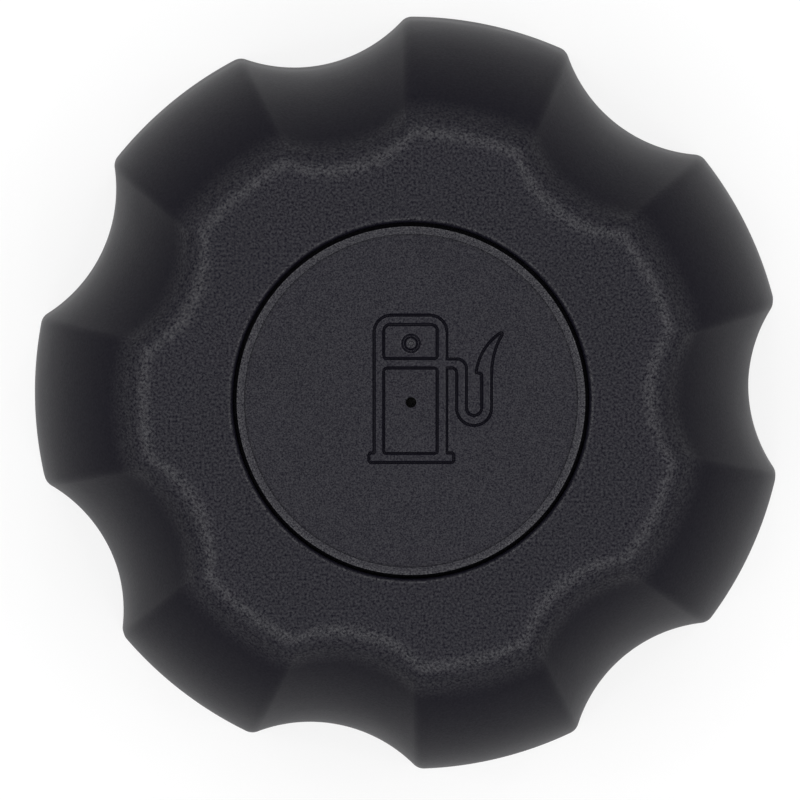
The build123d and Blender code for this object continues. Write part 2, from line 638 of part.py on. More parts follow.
def pressure_plate():
    """Pressure valve plate with a spring collar and vent slots round the stem's bore."""
    body = ring(POPPET_STEM_RADIUS + STEM_CLEARANCE, PLATE_RADIUS, VALVE_PLATE_BASE, VALVE_PLATE_TOP)
    collar_top = VALVE_PLATE_TOP + PLATE_COLLAR_HEIGHT
    body += ring(PLATE_COLLAR_RADIUS - PLATE_COLLAR_WALL, PLATE_COLLAR_RADIUS, VALVE_PLATE_TOP, collar_top)
    body -= slots(
        PLATE_SLOT_COUNT,
        PLATE_SLOT_START,
        PLATE_SLOT_END,
        PLATE_SLOT_WIDTH,
        VALVE_PLATE_BASE,
        VALVE_PLATE_TOP,
    )
    return body


def plate_seal():
    """Rubber disc under the pressure plate, on the housing's seat ridge."""
    return ring(SEAL_BORE, SEAL_RADIUS, SEAT_TOP, SEAT_TOP + SEAL_THICKNESS)


def coil_spring(radius, wire, pitch, base, top):
    """Helical spring between two heights, with its wire's own radius kept inside them."""
    rise = top - base - 2 * wire
    path = Pos(0, 0, base + wire) * Helix(pitch=pitch, height=rise, radius=radius)
    section = Plane(origin=path @ 0, z_dir=path % 0) * RegularPolygon(wire, WIRE_FLATS)
    return sweep(section, path=path, is_frenet=True)


def pressure_spring():
    """Spring that holds the pressure plate down."""
    return coil_spring(SPRING_RADIUS, SPRING_WIRE, SPRING_PITCH, VALVE_PLATE_TOP, CROWN_UNDERSIDE)


def spring_retainer():
    """Vented top hat that holds the pressure spring, its brim under the drum's roof."""
    brim_base = DRUM_ROOF_UNDERSIDE - RETAINER_SEAT_DEPTH
    outer = CROWN_BORE + CROWN_WALL
    body = turned([
        (CROWN_BORE, brim_base),
        (HOUSING_RADIUS, brim_base),
        (HOUSING_RADIUS, DRUM_ROOF_UNDERSIDE),
        (outer, DRUM_ROOF_UNDERSIDE),
        (outer, CROWN_TOP),
        (CROWN_EYE, CROWN_TOP),
        (CROWN_EYE, CROWN_UNDERSIDE),
        (CROWN_BORE, CROWN_UNDERSIDE),
    ])
    body -= slots(
        CROWN_SLOT_COUNT, CROWN_SLOT_START, CROWN_SLOT_END, CROWN_SLOT_WIDTH, CROWN_UNDERSIDE, CROWN_TOP
    )
    return body


def vacuum_poppet():
    """Mushroom valve under the seal, its stem up through the pressure plate."""
    body = disc(POPPET_HEAD_RADIUS, SEAT_TOP - POPPET_HEAD_THICKNESS, SEAT_TOP)
    body += disc(POPPET_STEM_RADIUS, SEAT_TOP - FUSE, STEM_TOP)
    return body


def poppet_clip():
    """Push-on washer near the top of the stem, above the vacuum spring."""
    return ring(POPPET_STEM_RADIUS, CLIP_RADIUS, CLIP_BASE, CLIP_BASE + CLIP_THICKNESS)


def vacuum_spring():
    """Light spring round the stem, between the pressure plate and the clip."""
    return coil_spring(
        VACUUM_SPRING_RADIUS, VACUUM_SPRING_WIRE, VACUUM_SPRING_PITCH, VALVE_PLATE_TOP, CLIP_BASE
    )


def rollover_ball():
    """Ball that closes the port when the vehicle rolls over."""
    return Pos(0, 0, BALL_CENTRE) * Sphere(BALL_RADIUS)


def ball_cage():
    """Windowed cage of the ball, hung from the partition by its flange."""
    bore = BALL_RADIUS + CAGE_CLEARANCE
    flange_base = PARTITION_BASE - CAGE_FLANGE_THICKNESS
    body = disc(bore + CAGE_WALL, CAGE_FLOOR_TOP - CAGE_FLOOR, PARTITION_BASE)
    body += disc(CAGE_FLANGE_RADIUS, flange_base, PARTITION_BASE)
    body -= disc(bore, CAGE_FLOOR_TOP, PARTITION_BASE + OVERCUT)
    window_height = flange_base - CAGE_FLOOR_TOP - 2 * CAGE_WALL
    window = Box(BIG, CAGE_WINDOW_WIDTH, window_height, align=(Align.MIN, Align.CENTER, Align.MIN))
    body -= around(CAGE_WINDOW_COUNT, Pos(0, 0, CAGE_FLOOR_TOP + CAGE_WALL) * window)
    return body


def splash_baffle():
    """Slotted dish snapped into the foot of the housing."""
    top = HOUSING_BASE + BAFFLE_THICKNESS
    body = disc(HOUSING_BORE - HOOK_CLEARANCE, HOUSING_BASE, top)
    body -= slots(
        BAFFLE_SLOT_COUNT, BAFFLE_SLOT_START, BAFFLE_SLOT_END, BAFFLE_SLOT_LENGTH, HOUSING_BASE, top
    )
    return body


def filter_support():
    """Thin plate on the retainer's crown, with radial slots."""
    body = disc(LEG_INNER_RADIUS - HOUSING_FIT, FILTER_SUPPORT_BASE, FILTER_BASE)
    body -= slots(
        FILTER_SLOT_COUNT,
        FILTER_SLOT_START,
        FILTER_SLOT_END,
        FILTER_SLOT_WIDTH,
        FILTER_SUPPORT_BASE,
        FILTER_BASE,
    )
    return body


def filter_pad():
    """Foam pad between its support and the disc."""
    return disc(LEG_INNER_RADIUS - HOUSING_FIT, FILTER_BASE, DISC_UNDERSIDE - FILTER_GAP)


NODES = {
    "grip_shell": grip_shell,
    "sign_disc": sign_disc,
    "slip_washer": slip_washer,
    "closure_body": closure_body,
    "pawl_ring": pawl_ring,
    "neck_gasket": neck_gasket,
    "valve_housing": valve_housing,
    "housing_seal": housing_seal,
    "housing_screws": housing_screws,
    "pressure_plate": pressure_plate,
    "plate_seal": plate_seal,
    "pressure_spring": pressure_spring,
    "spring_retainer": spring_retainer,
    "vacuum_poppet": vacuum_poppet,
    "poppet_clip": poppet_clip,
    "vacuum_spring": vacuum_spring,
    "rollover_ball": rollover_ball,
    "ball_cage": ball_cage,
    "splash_baffle": splash_baffle,
    "filter_support": filter_support,
    "filter_pad": filter_pad,
}

os.makedirs("parts", exist_ok=True)
for name, build in NODES.items():
    export_step(build(), f"parts/{name}.step")
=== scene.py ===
import json
import math

import bmesh
import bpy
import numpy as np
from bpy.props import FloatProperty, FloatVectorProperty, IntProperty, PointerProperty
from mathutils import Matrix, Vector


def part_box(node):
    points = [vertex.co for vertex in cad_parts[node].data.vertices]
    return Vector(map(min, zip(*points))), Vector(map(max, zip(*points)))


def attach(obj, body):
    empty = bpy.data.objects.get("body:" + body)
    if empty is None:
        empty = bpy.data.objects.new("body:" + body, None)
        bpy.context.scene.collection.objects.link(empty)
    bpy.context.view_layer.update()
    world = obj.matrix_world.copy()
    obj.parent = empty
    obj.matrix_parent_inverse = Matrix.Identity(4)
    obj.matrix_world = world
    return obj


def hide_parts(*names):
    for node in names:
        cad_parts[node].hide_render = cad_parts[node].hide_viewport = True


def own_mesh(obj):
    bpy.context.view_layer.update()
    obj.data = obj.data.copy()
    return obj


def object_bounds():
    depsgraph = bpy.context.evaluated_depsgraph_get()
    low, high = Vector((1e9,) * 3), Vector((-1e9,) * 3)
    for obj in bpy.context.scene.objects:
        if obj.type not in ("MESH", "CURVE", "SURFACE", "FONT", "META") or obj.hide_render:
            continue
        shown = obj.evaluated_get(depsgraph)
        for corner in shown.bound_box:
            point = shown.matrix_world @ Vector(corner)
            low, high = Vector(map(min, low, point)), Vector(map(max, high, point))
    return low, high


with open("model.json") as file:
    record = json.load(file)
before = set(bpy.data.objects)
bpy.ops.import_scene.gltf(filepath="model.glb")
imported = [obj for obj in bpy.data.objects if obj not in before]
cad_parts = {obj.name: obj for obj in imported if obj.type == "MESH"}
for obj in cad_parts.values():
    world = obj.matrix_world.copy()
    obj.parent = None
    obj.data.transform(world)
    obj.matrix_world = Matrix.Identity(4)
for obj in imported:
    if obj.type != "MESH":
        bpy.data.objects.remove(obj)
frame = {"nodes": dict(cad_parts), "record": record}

bl_info = {
    "name": "Fuel filler cap",
    "version": (1, 0, 0),
    "blender": (4, 5, 0),
    "location": "3D View > Sidebar > Filler cap",
    "description": "Builds the looks of a vented fuel filler cap round its packed solids",
    "category": "Add Mesh",
}

MM = 0.001
CAD_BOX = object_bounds()
SHELL_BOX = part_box("grip_shell")
DISC_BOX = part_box("sign_disc")
WASHER_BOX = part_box("slip_washer")
SCREW_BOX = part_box("housing_screws")
CAP_TOP = SHELL_BOX[1].z
DISC_RADIUS = (DISC_BOX[1].x - DISC_BOX[0].x) / 2
LEDGE_TOP = WASHER_BOX[0].z - 0.1 * MM
TAU = 2 * math.pi


def length(name, text, size):
    """A length that the panel shows, given in millimetres."""
    return FloatProperty(name=name, description=text, default=size * MM, min=0.0, unit="LENGTH", precision=5)


def angle(name, text, degrees):
    """An angle that the panel shows, given in degrees."""
    return FloatProperty(name=name, description=text, default=math.radians(degrees), unit="ROTATION")


def count(name, text, number):
    """A whole number that the panel shows."""
    return IntProperty(name=name, description=text, default=number, min=1)


def power(name, text, watts):
    """The power of a lamp that the panel shows, in watts."""
    return FloatProperty(name=name, description=text, default=watts, min=0.0, unit="POWER")


def tint(name, text, colour):
    """A colour that the panel shows."""
    return FloatVectorProperty(
        name=name, description=text, default=colour, subtype="COLOR", size=3, min=0, max=1)


def pointer(name, group):
    """A group of properties, described as its class is."""
    return PointerProperty(name=name, description=group.__doc__.rstrip("."), type=group)


class GripSizes(bpy.types.PropertyGroup):
    """Sizes of the scalloped grip."""

    lobes: count("Lobes", "Number of lobes, and of scallops between them", 7)
    first_lobe: angle("First lobe", "Direction of the first lobe's middle from +X", 26.63)
    lobe_radius: length("Lobe radius", "Radius over the lobes at the rim", 50.0)
    scallop_radius: length("Scallop radius", "Radius of each scallop's circle at the rim", 19.7)
    scallop_centre: length("Scallop centre", "Distance of that circle's centre from the axis", 64.8)
    draft: angle("Draft", "Slope of the flank near the rim", 5.0)
    draft_height: length("Draft height", "Height up to which the flank is straight", 15.0)
    shoulder: length("Shoulder radius", "Radius of the flank's convex arc", 45.1)
    lobe_round: length("Lobe round", "Radius between a lobe's flank and the top", 4.9)
    scallop_round: length("Scallop round", "Radius between a scallop's flank and the top", 6.0)
    crease: length("Crease round", "Radius along the creases between lobes and scallops", 1.9)
    rim_round: length("Rim round", "Radius of the rim's outer edge", 0.8)
    wall: length("Wall", "Thickness of the shell's wall", 2.5)
    opening_round: length("Opening round", "Radius of the edge round the disc", 0.7)
    disc_gap: length("Disc gap", "Running gap round the disc", 0.5)
    collar_wall: length("Collar wall", "Thickness of the collar round the disc", 2.5)
    ledge: length("Ledge", "Thickness of the ledge under the disc", 2.5)
    bearing: length("Bearing radius", "Radius of the ledge's bore", 18.28)


class RatchetSizes(bpy.types.PropertyGroup):
    """Sizes of the ratchet teeth and the webs inside the grip."""

    teeth: count("Teeth", "Number of ratchet teeth", 36)
    tip: length("Tip radius", "Radius of the teeth's tips", 39.65)
    root: length("Root radius", "Radius of the teeth's roots", 41.15)
    outer: length("Ring radius", "Outer radius of the toothed ring", 42.85)
    base: length("Base", "Height of the teeth's lower ends", 1.2)
    tooth_top: length("Tooth top", "Height of the teeth's upper ends", 8.4)
    top: length("Ring top", "Height of the ring's upper edge", 14.2)
    face: angle("Face slope", "Angle taken by a tooth's steep face", 1.0)
    web: length("Web", "Thickness of the radial webs", 1.6)
    web_spread: angle("Web spread", "Angle of each web from its lobe's middle", 5.0)
    web_base: length("Web base", "Height of the webs' lower ends", 1.4)
    web_bend_radius: length("Bend radius", "Radius at which a web turns in over the closure", 38.4)
    web_bend_height: length("Bend height", "Height at which a web turns in over the closure", 22.9)


class DiscSizes(bpy.types.PropertyGroup):
    """Sizes of the centre disc and its sign."""

    thickness: length("Thickness", "Thickness of the disc", 2.2)
    bead: length("Bead", "Height of the bead round the disc's edge", 0.35)
    bead_width: length("Bead width", "Width of the bead", 0.95)
    bead_crown: length("Bead crown", "How far the bead's ridged top falls to its sides", 0.06)
    vent: length("Vent radius", "Radius of the vent hole", 0.66)
    vent_drop: length("Vent offset", "How far the vent hole lies below the middle", 0.2)
    gate_height: length("Gate height", "Distance of the gate mark above the middle", 7.08)
    gate_radius: length("Gate radius", "Radius of the gate mark's outer ring", 1.18)
    groove: length("Groove width", "Width of the sign's engraved line", 0.33)
    groove_depth: length("Groove depth", "Depth of the sign's engraved line", 0.4)
    cell: length("Grid", "Spacing of the points under the sign", 0.072)
    leg_span: angle("Leg span", "Angle that each snap leg takes", 34.0)
    leg_wall: length("Leg wall", "Thickness of a snap leg", 1.1)
    leg_radius: length("Leg radius", "Outer radius of the snap legs", 15.4)
    hook: length("Hook", "Reach of a snap leg's hook", 0.9)
    hook_height: length("Hook height", "Height of a snap leg's hook", 1.2)


class ClosureSizes(bpy.types.PropertyGroup):
    """Sizes of the thread, the springs and the screws."""

    thread_radius: length("Thread root", "Radius of the neck bore", 34.0)
    thread_depth: length("Thread depth", "Height of the thread's ridge", 1.5)
    thread_pitch: length("Thread pitch", "Rise of the thread in one turn", 5.0)
    thread_width: length("Thread width", "Width of the ridge at its foot", 2.6)
    thread_start: length("Thread start", "Height at which the thread starts", 3.9)
    thread_end: length("Thread end", "Height at which the thread ends", 13.6)
    wire: length("Pressure wire", "Radius of the pressure spring's wire", 0.45)
    pitch: length("Pressure pitch", "Rise of the pressure spring in one turn", 1.9)
    travel: length("Pressure travel", "How far the pressure plate lifts and squeezes its spring", 1.5)
    light_wire: length("Vacuum wire", "Radius of the vacuum spring's wire", 0.28)
    light_pitch: length("Vacuum pitch", "Rise of the vacuum spring in one turn", 1.3)
    light_travel: length("Vacuum travel", "How far the poppet drops and squeezes its spring", 1.0)
    screws: count("Screws", "Number of housing screws", 4)
    head: length("Head radius", "Radius of a screw's head", 2.7)
    head_height: length("Head height", "Height of a screw's head", 1.4)
    recess: length("Recess span", "Length of the head's cross recess", 3.4)
    recess_width: length("Recess width", "Width of the cross recess", 0.75)
    recess_depth: length("Recess depth", "Depth of the cross recess", 0.9)


class Finishes(bpy.types.PropertyGroup):
    """Colours of the mouldings and metals."""

    grip: tint("Grip", "Grained black moulding", (0.0044, 0.004, 0.0076))
    disc: tint("Disc", "Smoother black moulding", (0.0056, 0.0051, 0.009))
    closure: tint("Closure", "Black glass-filled moulding", (0.014, 0.014, 0.015))
    acetal: tint("Acetal", "Natural white moulding", (0.72, 0.71, 0.66))
    valve: tint("Valve", "Dark grey moulding", (0.1, 0.1, 0.11))
    rubber: tint("Rubber", "Black rubber", (0.016, 0.016, 0.016))
    zinc: tint("Zinc", "Zinc-plated steel", (0.66, 0.66, 0.62))
    steel: tint("Steel", "Bright drawn steel", (0.55, 0.55, 0.56))
    foam: tint("Foam", "Open-cell foam", (0.1, 0.1, 0.1))
    floor: tint("Floor", "Paper under the cap", (0.9, 0.9, 0.9))


class StageSizes(bpy.types.PropertyGroup):
    """Camera and lights."""

    distance: length("Camera height", "Height of the camera above the rim", 600.0)
    lean: length("Camera lean", "How far the camera stands towards +Y", 14.2)
    side: length("Camera side", "How far the camera stands towards -X", 1.64)
    aim_x: length("Aim left", "How far to the left of the axis the picture's middle lies", 1.333)
    aim_y: length("Aim down", "How far below the axis the picture's middle lies", 1.033)
    frame: length("Picture width", "Width that the picture shows at the rim", 106.62)
    lamps: count("Ring lamps", "Number of soft lamps round the cap", 14)
    lamp_turn: angle("First lamp", "Direction of the ring's first lamp from +X", 0.9)
    lamp_slope: angle("Lamp slope", "Angle of the ring's lamps from the zenith", 40.0)
    lamp_reach: length("Lamp distance", "Distance of each lamp from the cap", 800.0)
    lamp_size: length("Lamp size", "Side of each square lamp", 300.0)
    ring_power: power("Ring power", "Power of each lamp in the ring", 0.78)
    top_power: power("Top power", "Power of the lamp overhead", 0.1)
    top_lean: length("Top lean", "How far the lamp overhead stands towards -X", 80.0)


class CapSettings(bpy.types.PropertyGroup):
    """All the sizes and colours of the cap."""

    grip: pointer("Grip", GripSizes)
    ratchet: pointer("Ratchet", RatchetSizes)
    disc: pointer("Disc", DiscSizes)
    closure: pointer("Closure", ClosureSizes)
    finish: pointer("Finishes", Finishes)
    stage: pointer("Stage", StageSizes)


# Meshes

SEAM = 0.0005 * MM


def faces_between(index):
    """The four corners of each face in a grid of point numbers."""
    corners = (index[:-1, :-1], index[:-1, 1:], index[1:, 1:], index[1:, :-1])
    return np.stack(corners, axis=-1).reshape(-1, 4)


class Skin:
    """Grids of points that are gathered into one mesh, whose seams close when equal points are merged."""

    def __init__(self):
        self.points = []
        self.quads = []
        self.total = 0

    def grid(self, points, close_rows=False, close_columns=False):
        """Adds points of shape (rows, columns, 3) with a face between each four neighbours."""
        rows, columns = points.shape[:2]
        index = np.arange(rows * columns).reshape(rows, columns) + self.total
        if close_rows:
            index = np.vstack((index, index[:1]))
        if close_columns:
            index = np.hstack((index, index[:, :1]))
        self.quads.append(faces_between(index))
        self.points.append(points.reshape(-1, 3))
        self.total += rows * columns

    def faces(self, points, quads):
        """Adds points with faces already chosen between them."""
        self.quads.append(quads + self.total)
        self.points.append(points)
        self.total += len(points)

    def mesh(self, name, sharp=30.0):
        """The finished mesh: equal points merged, faces outwards, and edges over an angle kept sharp."""
        mesh = bpy.data.meshes.new(name)
        mesh.from_pydata(np.concatenate(self.points), [], np.concatenate(self.quads), shade_flat=False)
        work = bmesh.new()
        work.from_mesh(mesh)
        bmesh.ops.remove_doubles(work, verts=work.verts, dist=SEAM)
        bmesh.ops.recalc_face_normals(work, faces=work.faces)
        work.to_mesh(mesh)
        work.free()
        mesh.shade_smooth()
        mesh.set_sharp_from_angle(angle=math.radians(sharp))
        return mesh


def placed(name, data):
    """A new object in the scene, at the origin."""
    thing = bpy.data.objects.new(name, data)
    bpy.context.scene.collection.objects.link(thing)
    return thing


def piece(name, mesh, body, slot, *nodes):
    """Puts a mesh on a body, with its slot's finish and the nodes that it stands for."""
    thing = placed(name, mesh)
    mesh.materials.append(finish(slot))
    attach(thing, body)
    if nodes:
        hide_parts(*nodes)
    return thing


def steps(first, last, number):
    """Evenly spaced values from first to last."""
    return np.linspace(first, last, number)


def polar(radius, turn):
    """Flat points from radii and angles."""
    return np.stack((radius * np.cos(turn), radius * np.sin(turn)), axis=-1)


def raised(flat, heights):
    """Points (rows, columns, 3) from flat points and heights that fit their rows and columns."""
    return np.concatenate((flat, np.broadcast_to(heights, flat.shape[:-1])[..., None]), axis=-1)


def rings(outward, radii, levels):
    """Circles along the given directions, with a radius and a height for each row."""
    return raised(outward[None] * np.reshape(radii, (-1, 1, 1)), np.reshape(levels, (-1, 1)))


def swept(radius, turn, height):
    """Sections carried round the axis: radii and heights (rows, columns), and one angle for each row."""
    return raised(polar(radius, turn[:, None]), height)


def tube(name, rows, sharp):
    """Mesh of a long tube, which closes at each end on the middle of its last section."""
    ends = [np.broadcast_to(rows[end].mean(axis=0), rows[end].shape)[None] for end in (0, -1)]
    skin = Skin()
    skin.grid(np.concatenate((ends[0], rows, ends[1])), close_columns=True)
    return skin.mesh(name, sharp)


def turned(flat, turn):
    """Flat points turned about the axis by an angle."""
    cosine, sine = math.cos(turn), math.sin(turn)
    return flat @ np.array([[cosine, sine], [-sine, cosine]])


# Shape of the grip, with its numbers of points and rows

LOBE_SAMPLES, CREASE_SAMPLES, SCALLOP_SAMPLES = 24, 10, 26
EDGE_ROWS, RIM_ROWS, FLANK_ROWS, ROUND_ROWS, TOP_ROWS, HOLLOW_ROWS = 7, 5, 28, 18, 5, 22
RAMP_SAMPLES, WEB_ROWS = 7, 25
HALVINGS = 40
LEAST_CREASE = 0.12 * MM
DENSE_DEPTH = 2.2 * MM
WEB_SETBACK = 0.3 * MM


def shoulder_centre(size):
    """(radius, height) of the centre of the flank's convex arc, which is tangent to the drafted rim."""
    rim_top = size.lobe_radius - size.draft_height * math.tan(size.draft)
    inwards, down = size.shoulder * math.cos(size.draft), size.shoulder * math.sin(size.draft)
    return rim_top - inwards, size.draft_height - down


def plain_flank(size, height, wall=0.0):
    """Radius of a lobe's flank at heights: straight, then sqrt(r^2 - dz^2) about the arc's centre."""
    centre, level = shoulder_centre(size)
    straight = size.lobe_radius - height * math.tan(size.draft) - wall / math.cos(size.draft)
    radius = size.shoulder - wall
    arc = centre + np.sqrt(np.maximum(radius**2 - (height - level) ** 2, 0))
    return np.where(height < level + radius * math.sin(size.draft), straight, arc)


def lobe_radii(size, height):
    """Radius of a lobe at heights: its flank, then a round that touches the shoulder's arc and the top."""
    centre, level = shoulder_centre(size)
    round_level = CAP_TOP - size.lobe_round
    inner = size.shoulder - size.lobe_round
    round_centre = centre + math.sqrt(inner**2 - (round_level - level) ** 2)
    start = round_level + size.lobe_round * (round_level - level) / inner
    arc = round_centre + np.sqrt(np.maximum(size.lobe_round**2 - (height - round_level) ** 2, 0))
    return np.where(height < start, plain_flank(size, height), arc)


def scallop_start(size):
    """Height and slope where a scallop's flank meets a round that reaches the top, by halving."""
    share = (size.scallop_centre - size.scallop_radius) / size.lobe_radius
    level = shoulder_centre(size)[1]
    low, high = size.draft_height, CAP_TOP
    for _ in range(HALVINGS):
        middle = (low + high) / 2
        lean = math.atan(share * math.tan(math.asin((middle - level) / size.shoulder)))
        if middle + size.scallop_round * (1 - math.sin(lean)) < CAP_TOP:
            low = middle
        else:
            high = middle
    return low, lean


def scallop_scale(size, height):
    """Size of a scallop's circle at heights, as a share of its size at the rim."""
    reach = size.scallop_centre - size.scallop_radius
    start, lean = scallop_start(size)
    flank = plain_flank(size, height) / size.lobe_radius
    meeting = plain_flank(size, np.array(start)) * reach / size.lobe_radius
    centre = meeting - size.scallop_round * math.cos(lean)
    level = CAP_TOP - size.scallop_round
    arc = (centre + np.sqrt(np.maximum(size.scallop_round**2 - (height - level) ** 2, 0))) / reach
    return np.where(height < start, flank, arc)


def lobed_outline(size, lobe, scale, inset):
    """Outlines of the grip, one for each row: lobe arc, crease arc and scallop arc, each tangent to the next.

    The crease's circle lies inside the lobe's circle and outside the scallop's. Its centre follows from the
    triangle of the three centres. The half lobe is mirrored and turned to close the outline.
    """
    lobe, scale, inset = np.broadcast_arrays(lobe, scale, inset)
    half = math.pi / size.lobes
    lobe = lobe[:, None]
    scallop = (size.scallop_radius * scale + inset)[:, None]
    centre = (size.scallop_centre * scale)[:, None]
    crease = np.maximum(size.crease - inset, LEAST_CREASE)[:, None]
    inner, outer = lobe - crease, scallop + crease
    apart = np.arccos((inner**2 + centre**2 - outer**2) / (2 * inner * centre))
    turn = half - apart
    spot = polar(inner, turn)
    middle = polar(centre, half)
    towards = middle - spot
    facing = np.arctan2(towards[..., 1], towards[..., 0])
    lobe_arc = polar(lobe, turn * steps(0, 1, LOBE_SAMPLES)[None, :])
    crease_turn = turn + (facing - turn) * steps(0, 1, CREASE_SAMPLES)[None, 1:]
    crease_arc = spot + polar(crease, crease_turn)
    first = facing + math.pi
    last = half + math.pi
    scallop_turn = first + (last - first) * steps(0, 1, SCALLOP_SAMPLES)[None, 1:]
    scallop_arc = middle + polar(scallop, scallop_turn)
    side = np.concatenate((lobe_arc, crease_arc, scallop_arc), axis=1)
    mirror = side[:, :0:-1] * np.array([1.0, -1.0])
    lobe_outline = np.concatenate((mirror[:, 1:], side), axis=1)
    turns = [size.first_lobe + TAU * number / size.lobes for number in range(size.lobes)]
    return np.concatenate([turned(lobe_outline, value) for value in turns], axis=1)


def grip_moulding(size):
    """Closed wall of the grip, as a loop of outlines: rim, flank, top, opening, ledge, collar, hollow."""
    skin = Skin()
    curl = steps(0, TAU / 4, EDGE_ROWS)
    rim_z = size.rim_round * (1 - np.cos(curl))
    rim_inset = size.rim_round * (1 - np.sin(curl))
    round_base = CAP_TOP - DENSE_DEPTH
    flank_z = np.concatenate((steps(size.rim_round, size.draft_height, RIM_ROWS)[1:],
                              steps(size.draft_height, round_base, FLANK_ROWS)[1:]))
    bend = steps(math.acos(1 - (CAP_TOP - round_base) / size.scallop_round), 0, ROUND_ROWS)[1:]
    round_z = CAP_TOP - size.scallop_round * (1 - np.cos(bend))
    outer_z = np.concatenate((rim_z, flank_z, round_z))
    inset = np.concatenate((rim_inset, np.zeros(len(flank_z) + len(round_z))))
    scale = scallop_scale(size, outer_z)
    outer = lobed_outline(size, lobe_radii(size, outer_z) - inset, scale, inset)

    edge = outer[-1]
    direction = edge / np.linalg.norm(edge, axis=1, keepdims=True)
    opening = DISC_RADIUS + size.disc_gap
    share = steps(0, 1, TOP_ROWS)[1:, None, None]
    top = edge[None] + (direction[None] * (opening + size.opening_round) - edge[None]) * share
    roll = curl[1:]
    ledge_base = LEDGE_TOP - size.ledge
    collar = opening + size.collar_wall
    ceiling = CAP_TOP - size.wall
    radii = np.concatenate((opening + size.opening_round * (1 - np.sin(roll)),
                            [opening, size.bearing, size.bearing, collar, collar]))
    levels = np.concatenate((CAP_TOP - size.opening_round * (1 - np.cos(roll)),
                             [LEDGE_TOP, LEDGE_TOP, ledge_base, ledge_base, ceiling]))

    hollow_z = np.concatenate((steps(ceiling, size.draft_height, HOLLOW_ROWS), [0.0]))
    hollow_lobe = plain_flank(size, hollow_z, size.wall)
    hollow = lobed_outline(size, hollow_lobe, scallop_scale(size, hollow_z), size.wall)
    parts = (raised(outer, outer_z[:, None]), raised(top, CAP_TOP), rings(direction, radii, levels),
             raised(hollow, hollow_z[:, None]))
    skin.grid(np.concatenate(parts), close_rows=True, close_columns=True)
    return skin.mesh("grip_moulding", sharp=40.0)


def ratchet_teeth(size):
    """Toothed ring as a loop of outlines: saw outline below, plain circles above and outside.

    A tooth's outline runs straight from root to tip down the steep face, then straight up the long ramp.
    """
    pitch = TAU / size.teeth
    ramp = steps(0, 1, RAMP_SAMPLES)[None, :-1, None]
    start = -pitch * np.arange(size.teeth)
    root = polar(size.root, start)
    tip = polar(size.tip, start - size.face)
    following = np.roll(root, -1, axis=0)
    ramps = tip[:, None] + (following - tip)[:, None] * ramp
    saw = np.concatenate((root[:, None], ramps), axis=1).reshape(-1, 2)
    direction = saw / np.linalg.norm(saw, axis=1, keepdims=True)
    teeth = raised(np.stack((saw, saw)), [[size.base], [size.tooth_top]])
    ring = rings(direction, [size.root, size.root, size.outer, size.outer],
                 [size.tooth_top, size.top, size.top, size.base])
    skin = Skin()
    skin.grid(np.concatenate((teeth, ring)), close_rows=True, close_columns=True)
    return skin.mesh("grip_teeth")


def grip_webs(grip, size):
    """Radial webs: flat plates between an inner line and the middle of the wall, two to a lobe."""
    ceiling = CAP_TOP - grip.wall / 2
    collar = DISC_RADIUS + grip.disc_gap + grip.collar_wall / 2
    foot = size.root + WEB_SETBACK
    corners = np.array([(foot, size.web_base), (foot, size.top), (size.web_bend_radius, size.web_bend_height),
                        (collar, LEDGE_TOP - grip.ledge), (collar, ceiling)])
    place = steps(0, len(corners) - 1, WEB_ROWS)
    radius, height = (np.interp(place, range(len(corners)), column) for column in corners.T)
    outer = np.maximum(plain_flank(grip, height, grip.wall / 2), radius)
    middle = np.zeros(len(place))
    shift = np.array([0.0, size.web / 2, 0.0])
    inner_line = np.stack((radius, middle, height), axis=-1)
    outer_line = np.stack((outer, middle, height), axis=-1)
    loop = np.stack((inner_line - shift, outer_line - shift, outer_line + shift, inner_line + shift), axis=1)
    skin = Skin()
    for number in range(grip.lobes):
        for side in (-1, 1):
            turn = grip.first_lobe + TAU * number / grip.lobes + side * size.web_spread
            web = raised(turned(loop[..., :2], turn), loop[..., 2])
            skin.grid(web, close_columns=True)
            skin.faces(web[[0, -1]].reshape(-1, 3), np.array([[0, 1, 2, 3], [4, 5, 6, 7]]))
    return skin.mesh("grip_webs")


# The disc and its sign

# The sign's sizes are in millimetres from the disc's middle. A hole has its bottom, top and two corner radii.
BODY_LEFT, BODY_RIGHT = -4.55, 4.44
BODY_TOP, BODY_ROUND = 10.56, 2.1
BODY_WALL = 1.2
WINDOW = (5.2, 9.4, 0.37, 0.75)
PANEL = (-6.48, 4.04, 0.25, 0.4)
PLINTH_LEFT, PLINTH_RIGHT = -5.19, 5.27
PLINTH_TOP, PLINTH_BOTTOM, PLINTH_ROUND = -6.42, -7.63, 0.3
HOSE_TOP, HOSE_WIDTH, HOSE_SLACK = 5.18, 1.23, 0.1
HOSE_OUTER_BEND, HOSE_INNER_BEND = 1.25, 0.55
HOSE_LEG, BEND_LEVEL, BEND_RADIUS = 6.85, -0.88, 0.93
NOZZLE_STEP, NOZZLE_NOTCH = (8.05, 3.44), 0.2
NOZZLE_TIP = (11.26, 8.31)
TIP_FRONT = (NOZZLE_TIP[0] - 0.15, NOZZLE_TIP[1] + 0.1)
TIP_BACK = (NOZZLE_TIP[0] - 0.05, NOZZLE_TIP[1] - 0.25)
FRONT_PULLS = ((8.2, 5.3), (9.3, 7.3))
BACK_PULLS, BACK_FOOT = ((10.5, 7.0), (9.95, 5.2)), 3.2
GRID_LOW = (PLINTH_LEFT - 0.6, PLINTH_BOTTOM - 0.6)
GRID_HIGH = (NOZZLE_TIP[0] + 0.5, BODY_TOP + 0.6)

